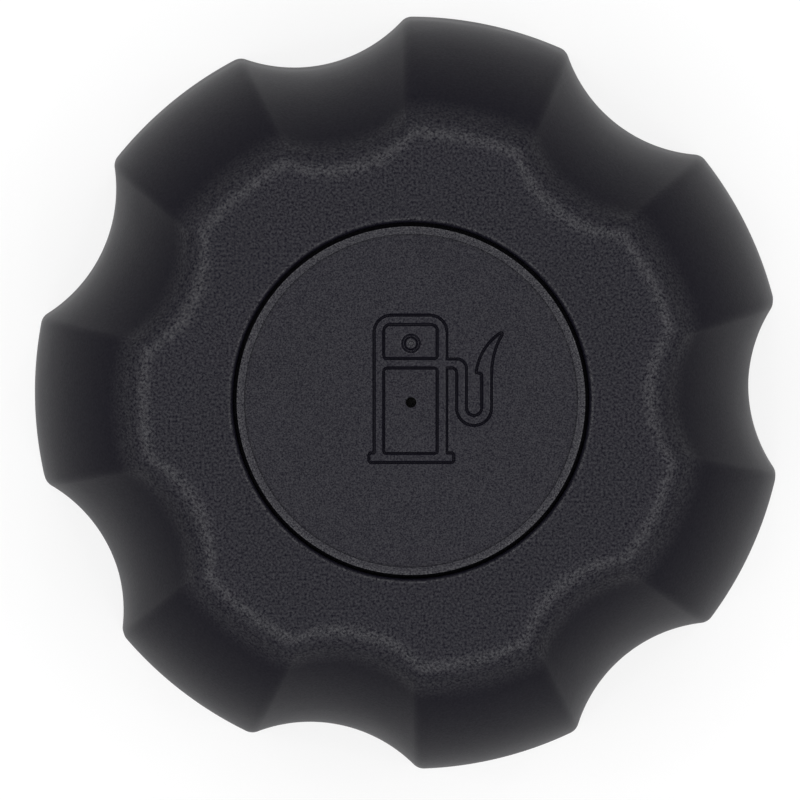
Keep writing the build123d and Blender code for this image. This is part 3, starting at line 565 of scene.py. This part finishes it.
# Each of the gate mark's rings has its share of the mark's radius and its depth.
GROOVE_SPREAD, GROOVE_EDGE = 0.05 * MM, 0.16 * MM
GATE_RINGS, GATE_LINE = ((0.92, 0.24 * MM), (0.64, 0.3 * MM)), 0.09 * MM
NUB_RADIUS, NUB_EDGE, NUB_HEIGHT = 0.42 * MM, 0.25 * MM, 0.2 * MM
BEAD_EDGE = 0.04 * MM
LEGS, LEG_ROOT = 4, 0.2 * MM
LEAST_SPAN = 1e-9
LEAST_VENT_CELLS = 4
SPREAD_ROWS, BEAD_ROWS, LEG_ROWS = 8, 13, 15


def arc_points(centre, radius, first, last, number=14):
    """Points on an arc from one angle in degrees to another."""
    return np.array(centre) + polar(radius, np.radians(steps(first, last, number)))


def corner(x, y, radius, first, last, number=14):
    """Rounded corner of an outline that would be sharp at (x, y)."""
    middle = math.radians((first + last) / 2)
    centre = (x - math.copysign(radius, math.cos(middle)), y - math.copysign(radius, math.sin(middle)))
    return arc_points(centre, radius, first, last, number)


def body_hole(bottom, top, low_round, top_round):
    """Closed outline of a hole with rounded corners in the pump's body."""
    left, right = BODY_LEFT + BODY_WALL, BODY_RIGHT - BODY_WALL
    return np.concatenate((
        corner(right, bottom, low_round, -90, 0),
        corner(right, top, top_round, 0, 90),
        corner(left, top, top_round, 90, 180),
        corner(left, bottom, low_round, 180, 270),
    ))


def bezier(first, second, third, fourth, number=16):
    """Points on a cubic curve."""
    t = steps(0, 1, number)[:, None]
    a, b, c, d = (np.array(point) for point in (first, second, third, fourth))
    return a * (1 - t) ** 3 + 3 * b * t * (1 - t) ** 2 + 3 * c * t**2 * (1 - t) + d * t**3


def sign_outline():
    """Silhouette of the generic pump sign, once round."""
    hose_base = HOSE_TOP - HOSE_WIDTH + HOSE_SLACK
    far = HOSE_LEG + 2 * BEND_RADIUS
    bend = (HOSE_LEG + BEND_RADIUS, BEND_LEVEL)
    notch = (far, NOZZLE_STEP[1] - NOZZLE_NOTCH)
    return np.concatenate((
        corner(PLINTH_LEFT, PLINTH_BOTTOM, PLINTH_ROUND, 270, 180, 6),
        corner(PLINTH_LEFT, PLINTH_TOP, PLINTH_ROUND, 180, 90, 6),
        [(BODY_LEFT, PLINTH_TOP)],
        corner(BODY_LEFT, BODY_TOP, BODY_ROUND, 180, 90),
        corner(BODY_RIGHT, BODY_TOP, BODY_ROUND, 90, 0),
        [(BODY_RIGHT, HOSE_TOP)],
        corner(HOSE_LEG, HOSE_TOP, HOSE_OUTER_BEND, 90, 0),
        arc_points(bend, BEND_RADIUS, 180, 360),
        [notch],
        bezier(notch, (far, NOZZLE_STEP[1]), NOZZLE_STEP, NOZZLE_STEP, 6),
        bezier(NOZZLE_STEP, *FRONT_PULLS, TIP_FRONT),
        bezier(TIP_FRONT, NOZZLE_TIP, NOZZLE_TIP, TIP_BACK, 5),
        bezier(TIP_BACK, *BACK_PULLS, (far + HOSE_WIDTH, BACK_FOOT)),
        arc_points(bend, BEND_RADIUS + HOSE_WIDTH, 360, 180, 24),
        corner(HOSE_LEG - HOSE_WIDTH, hose_base, HOSE_INNER_BEND, 0, 90, 8),
        [(BODY_RIGHT, hose_base), (BODY_RIGHT, PLINTH_TOP)],
        corner(PLINTH_RIGHT, PLINTH_TOP, PLINTH_ROUND, 90, 0, 6),
        corner(PLINTH_RIGHT, PLINTH_BOTTOM, PLINTH_ROUND, 0, -90, 6),
    ))


def distance_to(outline, spots):
    """Distance of each spot from a closed outline: the least distance from its straight pieces."""
    best = np.full(len(spots), np.inf)
    for first, last in zip(outline, np.roll(outline, -1, axis=0)):
        span = last - first
        square = span @ span
        if square < LEAST_SPAN:
            continue
        share = np.clip((spots - first) @ span / square, 0, 1)
        best = np.minimum(best, np.hypot(*(spots - first - share[:, None] * span).T))
    return best


def smooth_step(value):
    """0 below 0, 1 above 1, and a smooth rise 3t^2 - 2t^3 between them."""
    t = np.clip(value, 0, 1)
    return t * t * (3 - 2 * t)


def engraved(size, flat):
    """Depth of the sign's grooves and of the gate mark at flat points."""
    spots = flat / MM
    lines = (sign_outline(), body_hole(*WINDOW), body_hole(*PANEL))
    nearest = np.minimum.reduce([distance_to(line, spots) for line in lines]) * MM
    reach = size.groove / 2 + GROOVE_SPREAD
    depth = size.groove_depth * smooth_step((reach - nearest) / GROOVE_EDGE)
    away = np.hypot(flat[:, 0], flat[:, 1] - size.gate_height)
    for share, deep in GATE_RINGS:
        depth += deep * np.exp(-(((away - share * size.gate_radius) / GATE_LINE) ** 2))
    return depth - NUB_HEIGHT * smooth_step((NUB_RADIUS - away) / NUB_EDGE)


def sign_disc(size):
    """Centre disc: a fine square grid under the sign, rings to the rim bead, edge, underside and vent.

    The grid's points near the vent are moved from squares to circles: a point (a, b) from the vent's middle
    goes to (a, b) * max(|a|, |b|) / sqrt(a^2 + b^2), and this fades out at twice the vent's radius.
    """
    top = DISC_BOX[1].z - size.bead
    base = top - size.thickness
    cells_in_vent = max(int(round(size.vent / size.cell)), LEAST_VENT_CELLS)
    cell = size.vent / cells_in_vent
    centre = np.array([0.0, -size.vent_drop])
    low, high = (np.round((np.array(end) * MM - centre) / cell).astype(int) for end in (GRID_LOW, GRID_HIGH))
    a, b = np.meshgrid(np.arange(low[0], high[0] + 1), np.arange(low[1], high[1] + 1))
    square = np.maximum(np.abs(a), np.abs(b)).astype(float)
    true = np.maximum(np.hypot(a, b), LEAST_SPAN)
    fade = 1 - smooth_step((square - cells_in_vent) / cells_in_vent)
    pull = 1 + (square / true - 1) * fade
    flat = np.stack((a * pull, b * pull), axis=-1) * cell + centre
    rows, columns = flat.shape[:2]
    depth = engraved(size, flat.reshape(-1, 2)).reshape(rows, columns)
    points = raised(flat, top - depth)
    index = np.arange(rows * columns).reshape(rows, columns)
    corners = faces_between(index)
    inside = (square.ravel() <= cells_in_vent)[corners].all(axis=1)
    skin = Skin()
    skin.faces(points.reshape(-1, 3), corners[~inside])

    ring = points[square == cells_in_vent]
    vent = ring[np.argsort(np.arctan2(ring[:, 1] - centre[1], ring[:, 0]))]
    lower_vent = vent.copy()
    lower_vent[:, 2] = base

    border = np.concatenate((points[0, :-1], points[:-1, -1], points[-1, :0:-1], points[:0:-1, 0]))
    turn = np.unwrap(np.arctan2(border[:, 1], border[:, 0]))
    outward = polar(1, turn)
    bead_inner = DISC_RADIUS - size.bead_width
    share = steps(0, 1, SPREAD_ROWS)[1:, None, None]
    spread = border[None, :, :2] + (outward * bead_inner - border[:, :2])[None] * share
    across_bead = steps(-1, 1, BEAD_ROWS)
    crown = top + size.bead - size.bead_crown * np.abs(across_bead)
    half = size.bead_width / 2
    radii = np.append(DISC_RADIUS - half + (half - BEAD_EDGE) * across_bead, [DISC_RADIUS, DISC_RADIUS])
    levels = np.append(crown, [crown[-1] - BEAD_EDGE, base])
    parts = (raised(border[None, :, :2], top), raised(spread, top), rings(outward, radii, levels))
    face = np.concatenate(parts)
    skin.grid(face, close_columns=True)

    skin.grid(np.stack((vent, lower_vent)), close_columns=True)
    vent_turn = np.arctan2(vent[:, 1] - centre[1], vent[:, 0])
    apart = np.angle(np.exp(1j * (vent_turn[None, :] - turn[:, None])))
    nearest = np.argmin(np.abs(apart), axis=1)
    skin.grid(np.stack((face[-1], lower_vent[nearest])), close_columns=True)
    return skin.mesh("sign_disc_face", sharp=40.0)


def snap_legs(size):
    """Hooked legs under the disc: an outline of radius and height carried round an arc."""
    base = DISC_BOX[1].z - size.bead - size.thickness
    foot = DISC_BOX[0].z
    inner, outer = size.leg_radius - size.leg_wall, size.leg_radius
    top = base + LEG_ROOT
    hook_top = foot + size.hook_height
    nose, rise = size.hook / 4, 0.6 * size.hook_height
    outline = np.array([(inner, top), (inner, hook_top), (inner, foot), (outer + nose, foot),
                        (outer + size.hook, foot + rise), (outer + size.hook, hook_top),
                        (outer, hook_top), (outer, top)])
    skin = Skin()
    for number in range(LEGS):
        middle = (number + 0.5) * TAU / LEGS
        turn = middle + steps(-size.leg_span / 2, size.leg_span / 2, LEG_ROWS)
        rows = swept(outline[:, 0], turn, outline[:, 1])
        skin.grid(rows, close_columns=True)
        for end in (rows[0], rows[-1]):
            skin.faces(end, np.array([[0, 1, 6, 7], [1, 2, 5, 6], [2, 3, 4, 5]]))
    return skin.mesh("disc_legs")


# Thread, springs and screws

WIRE_SIDES, WIRE_SAMPLES, SETTLING_TURNS = 14, 60, 0.6
THREAD_SAMPLES, THREAD_SINK, RUN_OUT = 120, 0.12 * MM, math.radians(35)
SCREW_SIDES, RECESS_ROWS, HEAD_ROWS = 72, 26, 8
HEAD_ROUND, SHANK_RADIUS, POINT_RADIUS, TAPER = 0.8 * MM, 1.4 * MM, 0.3 * MM, 1.4 * MM
RECESS_EDGE, RECESS_SLOPE = 0.18 * MM, 0.45


def coil(name, low, high, wire, pitch):
    """Round wire along a helix in a box: near both ends its height is a parabola of the angle."""
    radius = high.x - wire
    rise = high.z - low.z - 2 * wire
    turns = rise / pitch
    place = steps(0, 1, int(turns * WIRE_SAMPLES) + 1)
    settle = SETTLING_TURNS / turns
    lift = np.where(place < settle, place**2 / (2 * settle), place - settle / 2)
    lift = np.where(place > 1 - settle, 1 - settle - (1 - place) ** 2 / (2 * settle), lift)
    height = low.z + wire + rise * lift / (1 - settle)
    section = polar(wire, steps(0, TAU, WIRE_SIDES + 1)[:-1])
    rows = swept(radius + section[:, 0], TAU * turns * place, height[:, None] + section[:, 1])
    return tube(name, rows, sharp=50.0)


def thread_ridge(size):
    """Ridge of the neck thread: a trapezium with cut corners along a helix, sunk to nothing at both ends."""
    turns = (size.thread_end - size.thread_start) / size.thread_pitch
    turn = TAU * turns * steps(0, 1, int(turns * THREAD_SAMPLES) + 1)
    height = size.thread_start + size.thread_pitch * turn / TAU
    fade = smooth_step(turn / RUN_OUT) * smooth_step((turn[-1] - turn) / RUN_OUT)
    foot, crest = size.thread_width / 2, size.thread_width / 5
    wide, narrow, bevel = crest + 0.1 * MM, crest - 0.14 * MM, 0.82
    outline = np.array([(0, -foot), (bevel, -wide), (1, -narrow), (1, narrow), (bevel, wide), (0, foot)])
    depth = THREAD_SINK + size.thread_depth * outline[:, 0] * fade[:, None]
    reach = size.thread_radius + THREAD_SINK - depth * (outline[:, 0] > 0)
    return tube("neck_thread_ridge", swept(reach, turn, height[:, None] + outline[:, 1]), sharp=35.0)


def housing_screws(size):
    """Pan-head screws, head down: a polar grid cut by the cross recess, the head's edge and the shank."""
    base = SCREW_BOX[0].z
    circle = SCREW_BOX[1].x - size.head
    seat = base + size.head_height
    tip = SCREW_BOX[1].z
    turn = steps(0, TAU, SCREW_SIDES + 1)[:-1]
    flat_radius = size.head - HEAD_ROUND
    flat = polar(steps(0, flat_radius, RECESS_ROWS)[:, None], turn)
    span, width = size.recess / 2, size.recess_width / 2
    x, y = np.abs(flat[..., 0]), np.abs(flat[..., 1])
    blade = np.minimum(np.maximum(x - span, y - width), np.maximum(y - span, x - width))
    cut = size.recess_depth * smooth_step(-blade / RECESS_EDGE) * (1 - RECESS_SLOPE * np.hypot(x, y) / span)
    curl = steps(0, TAU / 4, HEAD_ROWS)[1:]
    radii = np.append(flat_radius + HEAD_ROUND * np.sin(curl),
                      [size.head, SHANK_RADIUS, SHANK_RADIUS, POINT_RADIUS, 0.0])
    levels = np.append(base + HEAD_ROUND * (1 - np.cos(curl)), [seat, seat, tip - TAPER, tip, tip])
    face = raised(flat, base + np.maximum(cut, 0))
    screw = np.concatenate((face, rings(polar(1, turn), radii, levels)))
    skin = Skin()
    for number in range(size.screws):
        place = polar(circle, TAU * number / size.screws)
        skin.grid(screw + np.append(place, 0.0), close_columns=True)
    return skin.mesh("housing_screw_set", sharp=35.0)


# Materials

class Wire:
    """One output in a material, so that shader maths reads as plain expressions."""

    def __init__(self, recipe, socket):
        self.recipe = recipe
        self.socket = socket

    def maths(self, operation, other):
        return self.recipe.node("ShaderNodeMath", {0: self, 1: other}, operation=operation)

    def __add__(self, other):
        return self.maths("ADD", other)

    __radd__ = __add__

    def __sub__(self, other):
        return self.maths("SUBTRACT", other)

    def __mul__(self, other):
        return self.maths("MULTIPLY", other)

    __rmul__ = __mul__

    def larger(self, other):
        """The larger of two values."""
        return self.maths("MAXIMUM", other)


class Recipe:
    """The node tree of a material or a world, filled by one method that makes any node."""

    def __init__(self, owner):
        self.owner = owner
        owner.use_nodes = True
        self.tree = owner.node_tree
        self.tree.nodes.clear()

    def node(self, kind, inputs=None, output=0, **settings):
        """Adds a node: its settings first, then a value or a link for each socket, and gives one output."""
        made = self.tree.nodes.new(kind)
        for name, value in settings.items():
            setattr(made, name, value)
        for key, value in (inputs or {}).items():
            if isinstance(value, Wire):
                self.tree.links.new(value.socket, made.inputs[key])
            else:
                made.inputs[key].default_value = value
        return Wire(self, made.outputs[output]) if made.outputs else None

    def place(self):
        """Object coordinates, in metres."""
        return self.node("ShaderNodeTexCoord", output="Object")

    def height(self):
        """Height above the rim, in metres."""
        return self.node("ShaderNodeSeparateXYZ", {0: self.place()}, output="Z")

    def noise(self, grain, detail=2.0, roughness=0.5, place=None):
        """Noise with lumps of about one grain, in metres, from 0 to 1."""
        place = place or self.place()
        inputs = {"Vector": place, "Scale": 1 / grain, "Detail": detail, "Roughness": roughness}
        return self.node("ShaderNodeTexNoise", inputs)

    def blend(self, amount, first, second):
        """Colour between two colours."""
        inputs = {"Factor": amount, 6: first, 7: second}
        return self.node("ShaderNodeMix", inputs, output=2, data_type="RGBA")

    def bump(self, height, distance):
        """Normal from a height."""
        return self.node("ShaderNodeBump", {"Height": height, "Distance": distance, "Strength": 1.0})

    def looked_at(self):
        """1 for a camera, glossy or transmission ray, and 0 for the rays that carry light."""
        kinds = ("Is Camera Ray", "Is Glossy Ray", "Is Transmission Ray")
        camera, glossy, through = (self.node("ShaderNodeLightPath", output=kind) for kind in kinds)
        return camera.larger(glossy.larger(through))

    def surface(self, inputs):
        """Ends the tree with the main shader."""
        shader = self.node("ShaderNodeBsdfPrincipled", inputs)
        self.node("ShaderNodeOutputMaterial", {"Surface": shader})


def rgba(colour, scale=1.0):
    """A colour with its alpha, made lighter or darker."""
    return tuple(channel * scale for channel in colour) + (1.0,)


CLOUD_GRAIN, FLOW_GRAIN, SHEEN_GRAIN, STREAK_GRAIN, FOAM_CELL = 9 * MM, 5 * MM, 0.5 * MM, 0.2 * MM, 0.5 * MM


def grained_plastic(recipe, colour, roughness, grain, depth, specular=0.5, highlight_coat=0.0, base=0.0, full=1 * MM):
    """Moulded plastic with a spark-eroded grain, and a glossy coat that grows with height from base up to
    full: a painted highlight on the highest faces and their rounds.
    """
    cloud = recipe.noise(CLOUD_GRAIN, 3.0)
    fine = recipe.noise(grain, 2.0, 0.6)
    cloudy = recipe.blend(cloud, rgba(colour, 0.82), rgba(colour, 1.18))
    sparkle = recipe.node("ShaderNodeMapRange", {
        "Value": fine, "From Min": 0.32, "From Max": 0.68, "To Max": 2.0})
    # The coat's weight follows height only: a painted highlight on the top and its rounds, and painted shade
    # where a surface lies lower, as in grooves.
    rise = recipe.node("ShaderNodeMapRange", {
        "Value": recipe.height(), "From Min": base, "From Max": full,
        "To Min": 0.12 * highlight_coat, "To Max": highlight_coat}, interpolation_type="SMOOTHSTEP")
    recipe.surface({
        "Base Color": recipe.blend(fine, rgba(colour, 0.8), cloudy),
        "Roughness": roughness - 0.05 + 0.1 * cloud,
        "Specular IOR Level": specular,
        "Coat Weight": rise * sparkle,
        "Coat Roughness": roughness,
        "Normal": recipe.bump(fine, depth),
    })


def smooth_plastic(recipe, colour, roughness):
    """Glossy moulding with a faint flow pattern."""
    cloud = recipe.noise(FLOW_GRAIN, 2.0)
    fine = recipe.noise(SHEEN_GRAIN, 2.0)
    recipe.surface({
        "Base Color": recipe.blend(cloud, rgba(colour, 0.94), rgba(colour, 1.04)),
        "Roughness": roughness + 0.12 * (cloud - 0.5),
        "Normal": recipe.bump(fine, 0.004 * MM),
    })


def drawn_metal(recipe, colour, roughness):
    """Bright or plated metal with fine streaks along the axis."""
    stretch = recipe.node("ShaderNodeMapping", {"Vector": recipe.place(), "Scale": (1.0, 1.0, 0.15)})
    streak = recipe.noise(STREAK_GRAIN, 3.0, place=stretch)
    recipe.surface({
        "Base Color": recipe.blend(streak, rgba(colour, 0.85), rgba(colour, 1.1)),
        "Metallic": 1.0,
        "Roughness": roughness + 0.2 * (streak - 0.5),
        "Normal": recipe.bump(streak, 0.002 * MM),
    })


def open_foam(recipe, colour):
    """Open-cell foam: small round cells, darker inside, a painted shade in the pores."""
    cells = recipe.node("ShaderNodeTexVoronoi", {"Vector": recipe.place(), "Scale": 1 / FOAM_CELL})
    recipe.surface({
        # Darker towards each cell's middle: painted shade in the pores.
        "Base Color": recipe.blend(cells, rgba(colour, 0.3), rgba(colour, 1.4)),
        "Roughness": 0.95,
        "Normal": recipe.bump(cells, 0.1 * MM),
    })


FINISH_OF = {
    # The grip's and the disc's coats grow towards the top: a painted highlight on the top and its rounds, and
    # painted shade in the disc's grooves and gate rings.
    "grip_plastic": (grained_plastic, "grip", dict(
        roughness=0.41, grain=0.3 * MM, depth=0.014 * MM, specular=0.035, highlight_coat=0.3,
        base=CAP_TOP - 4.5 * MM, full=CAP_TOP - 0.5 * MM)),
    "disc_plastic": (grained_plastic, "disc", dict(
        roughness=0.41, grain=0.2 * MM, depth=0.008 * MM, specular=0.05, highlight_coat=0.5,
        base=DISC_BOX[1].z - 0.76 * MM, full=DISC_BOX[1].z)),
    "closure_plastic": (grained_plastic, "closure", dict(
        roughness=0.4, grain=0.4 * MM, depth=0.008 * MM, specular=0.2)),
    "acetal": (smooth_plastic, "acetal", dict(roughness=0.34)),
    "valve_plastic": (smooth_plastic, "valve", dict(roughness=0.4)),
    "baffle_plastic": (grained_plastic, "closure", dict(roughness=0.5, grain=0.4 * MM, depth=0.01 * MM)),
    "seal_rubber": (grained_plastic, "rubber", dict(
        roughness=0.72, grain=0.15 * MM, depth=0.006 * MM, specular=0.35)),
    "zinc_steel": (drawn_metal, "zinc", dict(roughness=0.38)),
    "spring_steel": (drawn_metal, "steel", dict(roughness=0.28)),
    "filter_foam": (open_foam, "foam", {}),
}


def finish(slot):
    """The material of a slot, made once, under a name that no packed material has."""
    name = slot + "_finish"
    if name not in bpy.data.materials:
        recipe_of, colour, values = FINISH_OF[slot]
        tints = bpy.context.scene.filler_cap.finish
        recipe_of(Recipe(bpy.data.materials.new(name)), getattr(tints, colour), **values)
    return bpy.data.materials[name]


# Operators

FLOOR_REACH, FLOOR_WHITE = 4.0, 0.75
SOFT_LIGHT = 0.1
SENSOR = 36.0


class CAP_OT_finishes(bpy.types.Operator):
    """Gives every packed node the material of its slot"""

    bl_idname = "filler_cap.finishes"
    bl_label = "Finishes"

    def execute(self, context):
        for row in frame["record"]["subparts"]:
            mesh = frame["nodes"][row["node"]].data
            mesh.materials.clear()
            mesh.materials.append(finish(row["material_slot"]))
        return {"FINISHED"}


class CAP_OT_grip(bpy.types.Operator):
    """Builds the scalloped grip with its ratchet teeth and webs"""

    bl_idname = "filler_cap.grip"
    bl_label = "Grip"

    def execute(self, context):
        sizes = context.scene.filler_cap
        piece("grip_moulding", grip_moulding(sizes.grip), "grip", "grip_plastic", "grip_shell")
        piece("grip_teeth", ratchet_teeth(sizes.ratchet), "grip", "grip_plastic", "grip_shell")
        piece("grip_webs", grip_webs(sizes.grip, sizes.ratchet), "grip", "grip_plastic", "grip_shell")
        return {"FINISHED"}


class CAP_OT_disc(bpy.types.Operator):
    """Builds the centre disc with its engraved sign, vent hole, gate mark and snap legs"""

    bl_idname = "filler_cap.disc"
    bl_label = "Disc"

    def execute(self, context):
        size = context.scene.filler_cap.disc
        piece("sign_disc_face", sign_disc(size), "closure", "disc_plastic", "sign_disc")
        piece("disc_legs", snap_legs(size), "closure", "disc_plastic", "sign_disc")
        return {"FINISHED"}


class CAP_OT_thread(bpy.types.Operator):
    """Builds the ridge of the neck thread"""

    bl_idname = "filler_cap.thread"
    bl_label = "Thread"

    def execute(self, context):
        mesh = thread_ridge(context.scene.filler_cap.closure)
        piece("neck_thread_ridge", mesh, "closure", "closure_plastic")
        return {"FINISHED"}


class CAP_OT_springs(bpy.types.Operator):
    """Builds the pressure spring and the vacuum spring"""

    bl_idname = "filler_cap.springs"
    bl_label = "Springs"

    def execute(self, context):
        size = context.scene.filler_cap.closure
        low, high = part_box("pressure_spring")
        mesh = coil("pressure_spring_wire", low, high, size.wire, size.pitch)
        spring = piece("pressure_spring_wire", mesh, "closure", "spring_steel", "pressure_spring")
        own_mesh(spring)
        low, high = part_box("vacuum_spring")
        mesh = coil("vacuum_spring_wire", low, high, size.light_wire, size.light_pitch)
        spring = piece("vacuum_spring_wire", mesh, "pressure_valve", "spring_steel", "vacuum_spring")
        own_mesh(spring)
        return {"FINISHED"}


class CAP_OT_screws(bpy.types.Operator):
    """Builds the housing's screws"""

    bl_idname = "filler_cap.screws"
    bl_label = "Screws"

    def execute(self, context):
        mesh = housing_screws(context.scene.filler_cap.closure)
        piece("housing_screw_set", mesh, "closure", "zinc_steel", "housing_screws")
        return {"FINISHED"}


def area_lamp(name, place, side, watts):
    """Soft square lamp, turned to face the middle of the cap."""
    lamp = bpy.data.lights.new(name, "AREA")
    lamp.size = side
    lamp.energy = watts
    holder = placed(name, lamp)
    holder.location = place
    aim = Vector((0.0, 0.0, CAP_TOP / 2)) - Vector(place)
    holder.rotation_euler = aim.to_track_quat("-Z", "Y").to_euler()


class CAP_OT_stage(bpy.types.Operator):
    """Builds the floor, the lamps, the background and the camera"""

    bl_idname = "filler_cap.stage"
    bl_label = "Stage"

    def execute(self, context):
        scene = context.scene
        stage = scene.filler_cap.stage
        self.floor(scene.filler_cap.finish.floor)
        self.world(scene)
        self.lamps(stage)
        self.camera(scene, stage)
        scene.view_settings.view_transform = "Standard"
        return {"FINISHED"}

    def lamps(self, stage):
        """Ring of soft lamps at one slope, and one lamp overhead."""
        for number in range(stage.lamps):
            turn = stage.lamp_turn + TAU * number / stage.lamps
            out = stage.lamp_reach * math.sin(stage.lamp_slope)
            up = stage.lamp_reach * math.cos(stage.lamp_slope)
            area_lamp(f"ring_lamp_{number + 1}", (*polar(out, turn), up), stage.lamp_size, stage.ring_power)
        area_lamp("top_lamp", (-stage.top_lean, 0.0, stage.lamp_reach), stage.lamp_size, stage.top_power)

    def floor(self, colour):
        """Paper under the cap, whose shadow stays, lightened where it is looked at."""
        recipe = Recipe(bpy.data.materials.new("paper"))
        paper = recipe.node("ShaderNodeBsdfDiffuse", {"Color": rgba(colour)})
        white = recipe.node("ShaderNodeEmission", {"Color": (1, 1, 1, 1), "Strength": 1.0})
        mixed = recipe.node("ShaderNodeMixShader", {
            0: recipe.looked_at() * FLOOR_WHITE, 1: paper, 2: white})
        recipe.node("ShaderNodeOutputMaterial", {"Surface": mixed})
        edges = (-FLOOR_REACH, FLOOR_REACH)
        skin = Skin()
        skin.grid(np.stack(np.meshgrid(edges, edges, [CAD_BOX[0][2]]), axis=-1)[:, :, 0])
        mesh = skin.mesh("floor")
        mesh.materials.append(recipe.owner)
        thing = placed("floor", mesh)

    def world(self, scene):
        """White where it is looked at, a plain soft grey as light."""
        scene.world = bpy.data.worlds.new("studio")
        recipe = Recipe(scene.world)
        soft, white = (recipe.node("ShaderNodeBackground", {"Color": (1, 1, 1, 1), "Strength": strength})
                       for strength in (SOFT_LIGHT, 1.0))
        mixed = recipe.node("ShaderNodeMixShader", {0: recipe.looked_at(), 1: soft, 2: white})
        recipe.node("ShaderNodeOutputWorld", {"Surface": mixed})

    def camera(self, scene, stage):
        """Camera almost straight above, with +Y up in the picture."""
        eye = Vector((-stage.side, stage.lean, stage.distance))
        aim = Vector((-stage.aim_x, -stage.aim_y, 0.0))
        forward = (aim - eye).normalized()
        right = forward.cross(Vector((0, 1, 0))).normalized()
        up = right.cross(forward)
        lens = bpy.data.cameras.new("camera")
        lens.sensor_width = SENSOR
        lens.lens = SENSOR * (aim - eye).length / stage.frame
        lens.clip_start, lens.clip_end = 0.01, 20.0
        holder = placed("camera", lens)
        turn = Matrix((right, up, -forward)).transposed().to_4x4()
        holder.matrix_world = Matrix.Translation(eye) @ turn
        scene.camera = holder


OPERATORS = (
    CAP_OT_finishes, CAP_OT_grip, CAP_OT_disc, CAP_OT_thread, CAP_OT_springs, CAP_OT_screws, CAP_OT_stage)


class CAP_PT_panel(bpy.types.Panel):
    """Sidebar panel that lists the cap's pieces"""

    bl_label = "Filler cap"
    bl_idname = "CAP_PT_panel"
    bl_space_type = "VIEW_3D"
    bl_region_type = "UI"
    bl_category = "Filler cap"

    def draw(self, context):
        sizes = context.scene.filler_cap
        for group in (sizes.grip, sizes.ratchet, sizes.disc, sizes.closure, sizes.finish, sizes.stage):
            box = self.layout.box()
            for name in group.bl_rna.properties.keys():
                if name not in {"rna_type", "name"}:
                    box.prop(group, name)
        for operator in OPERATORS:
            self.layout.operator(operator.bl_idname)


GROUPS = (GripSizes, RatchetSizes, DiscSizes, ClosureSizes, Finishes, StageSizes, CapSettings)
CLASSES = GROUPS + OPERATORS + (CAP_PT_panel,)


def register():
    for item in CLASSES:
        bpy.utils.register_class(item)
    bpy.types.Scene.filler_cap = pointer("Filler cap", CapSettings)


def unregister():
    del bpy.types.Scene.filler_cap
    for item in reversed(CLASSES):
        bpy.utils.unregister_class(item)


def main():
    """Registers the classes and builds every piece in order."""
    register()
    for operator in OPERATORS:
        group, name = operator.bl_idname.split(".")
        getattr(getattr(bpy.ops, group), name)()
    bpy.context.view_layer.update()


if __name__ == "__main__":
    main()
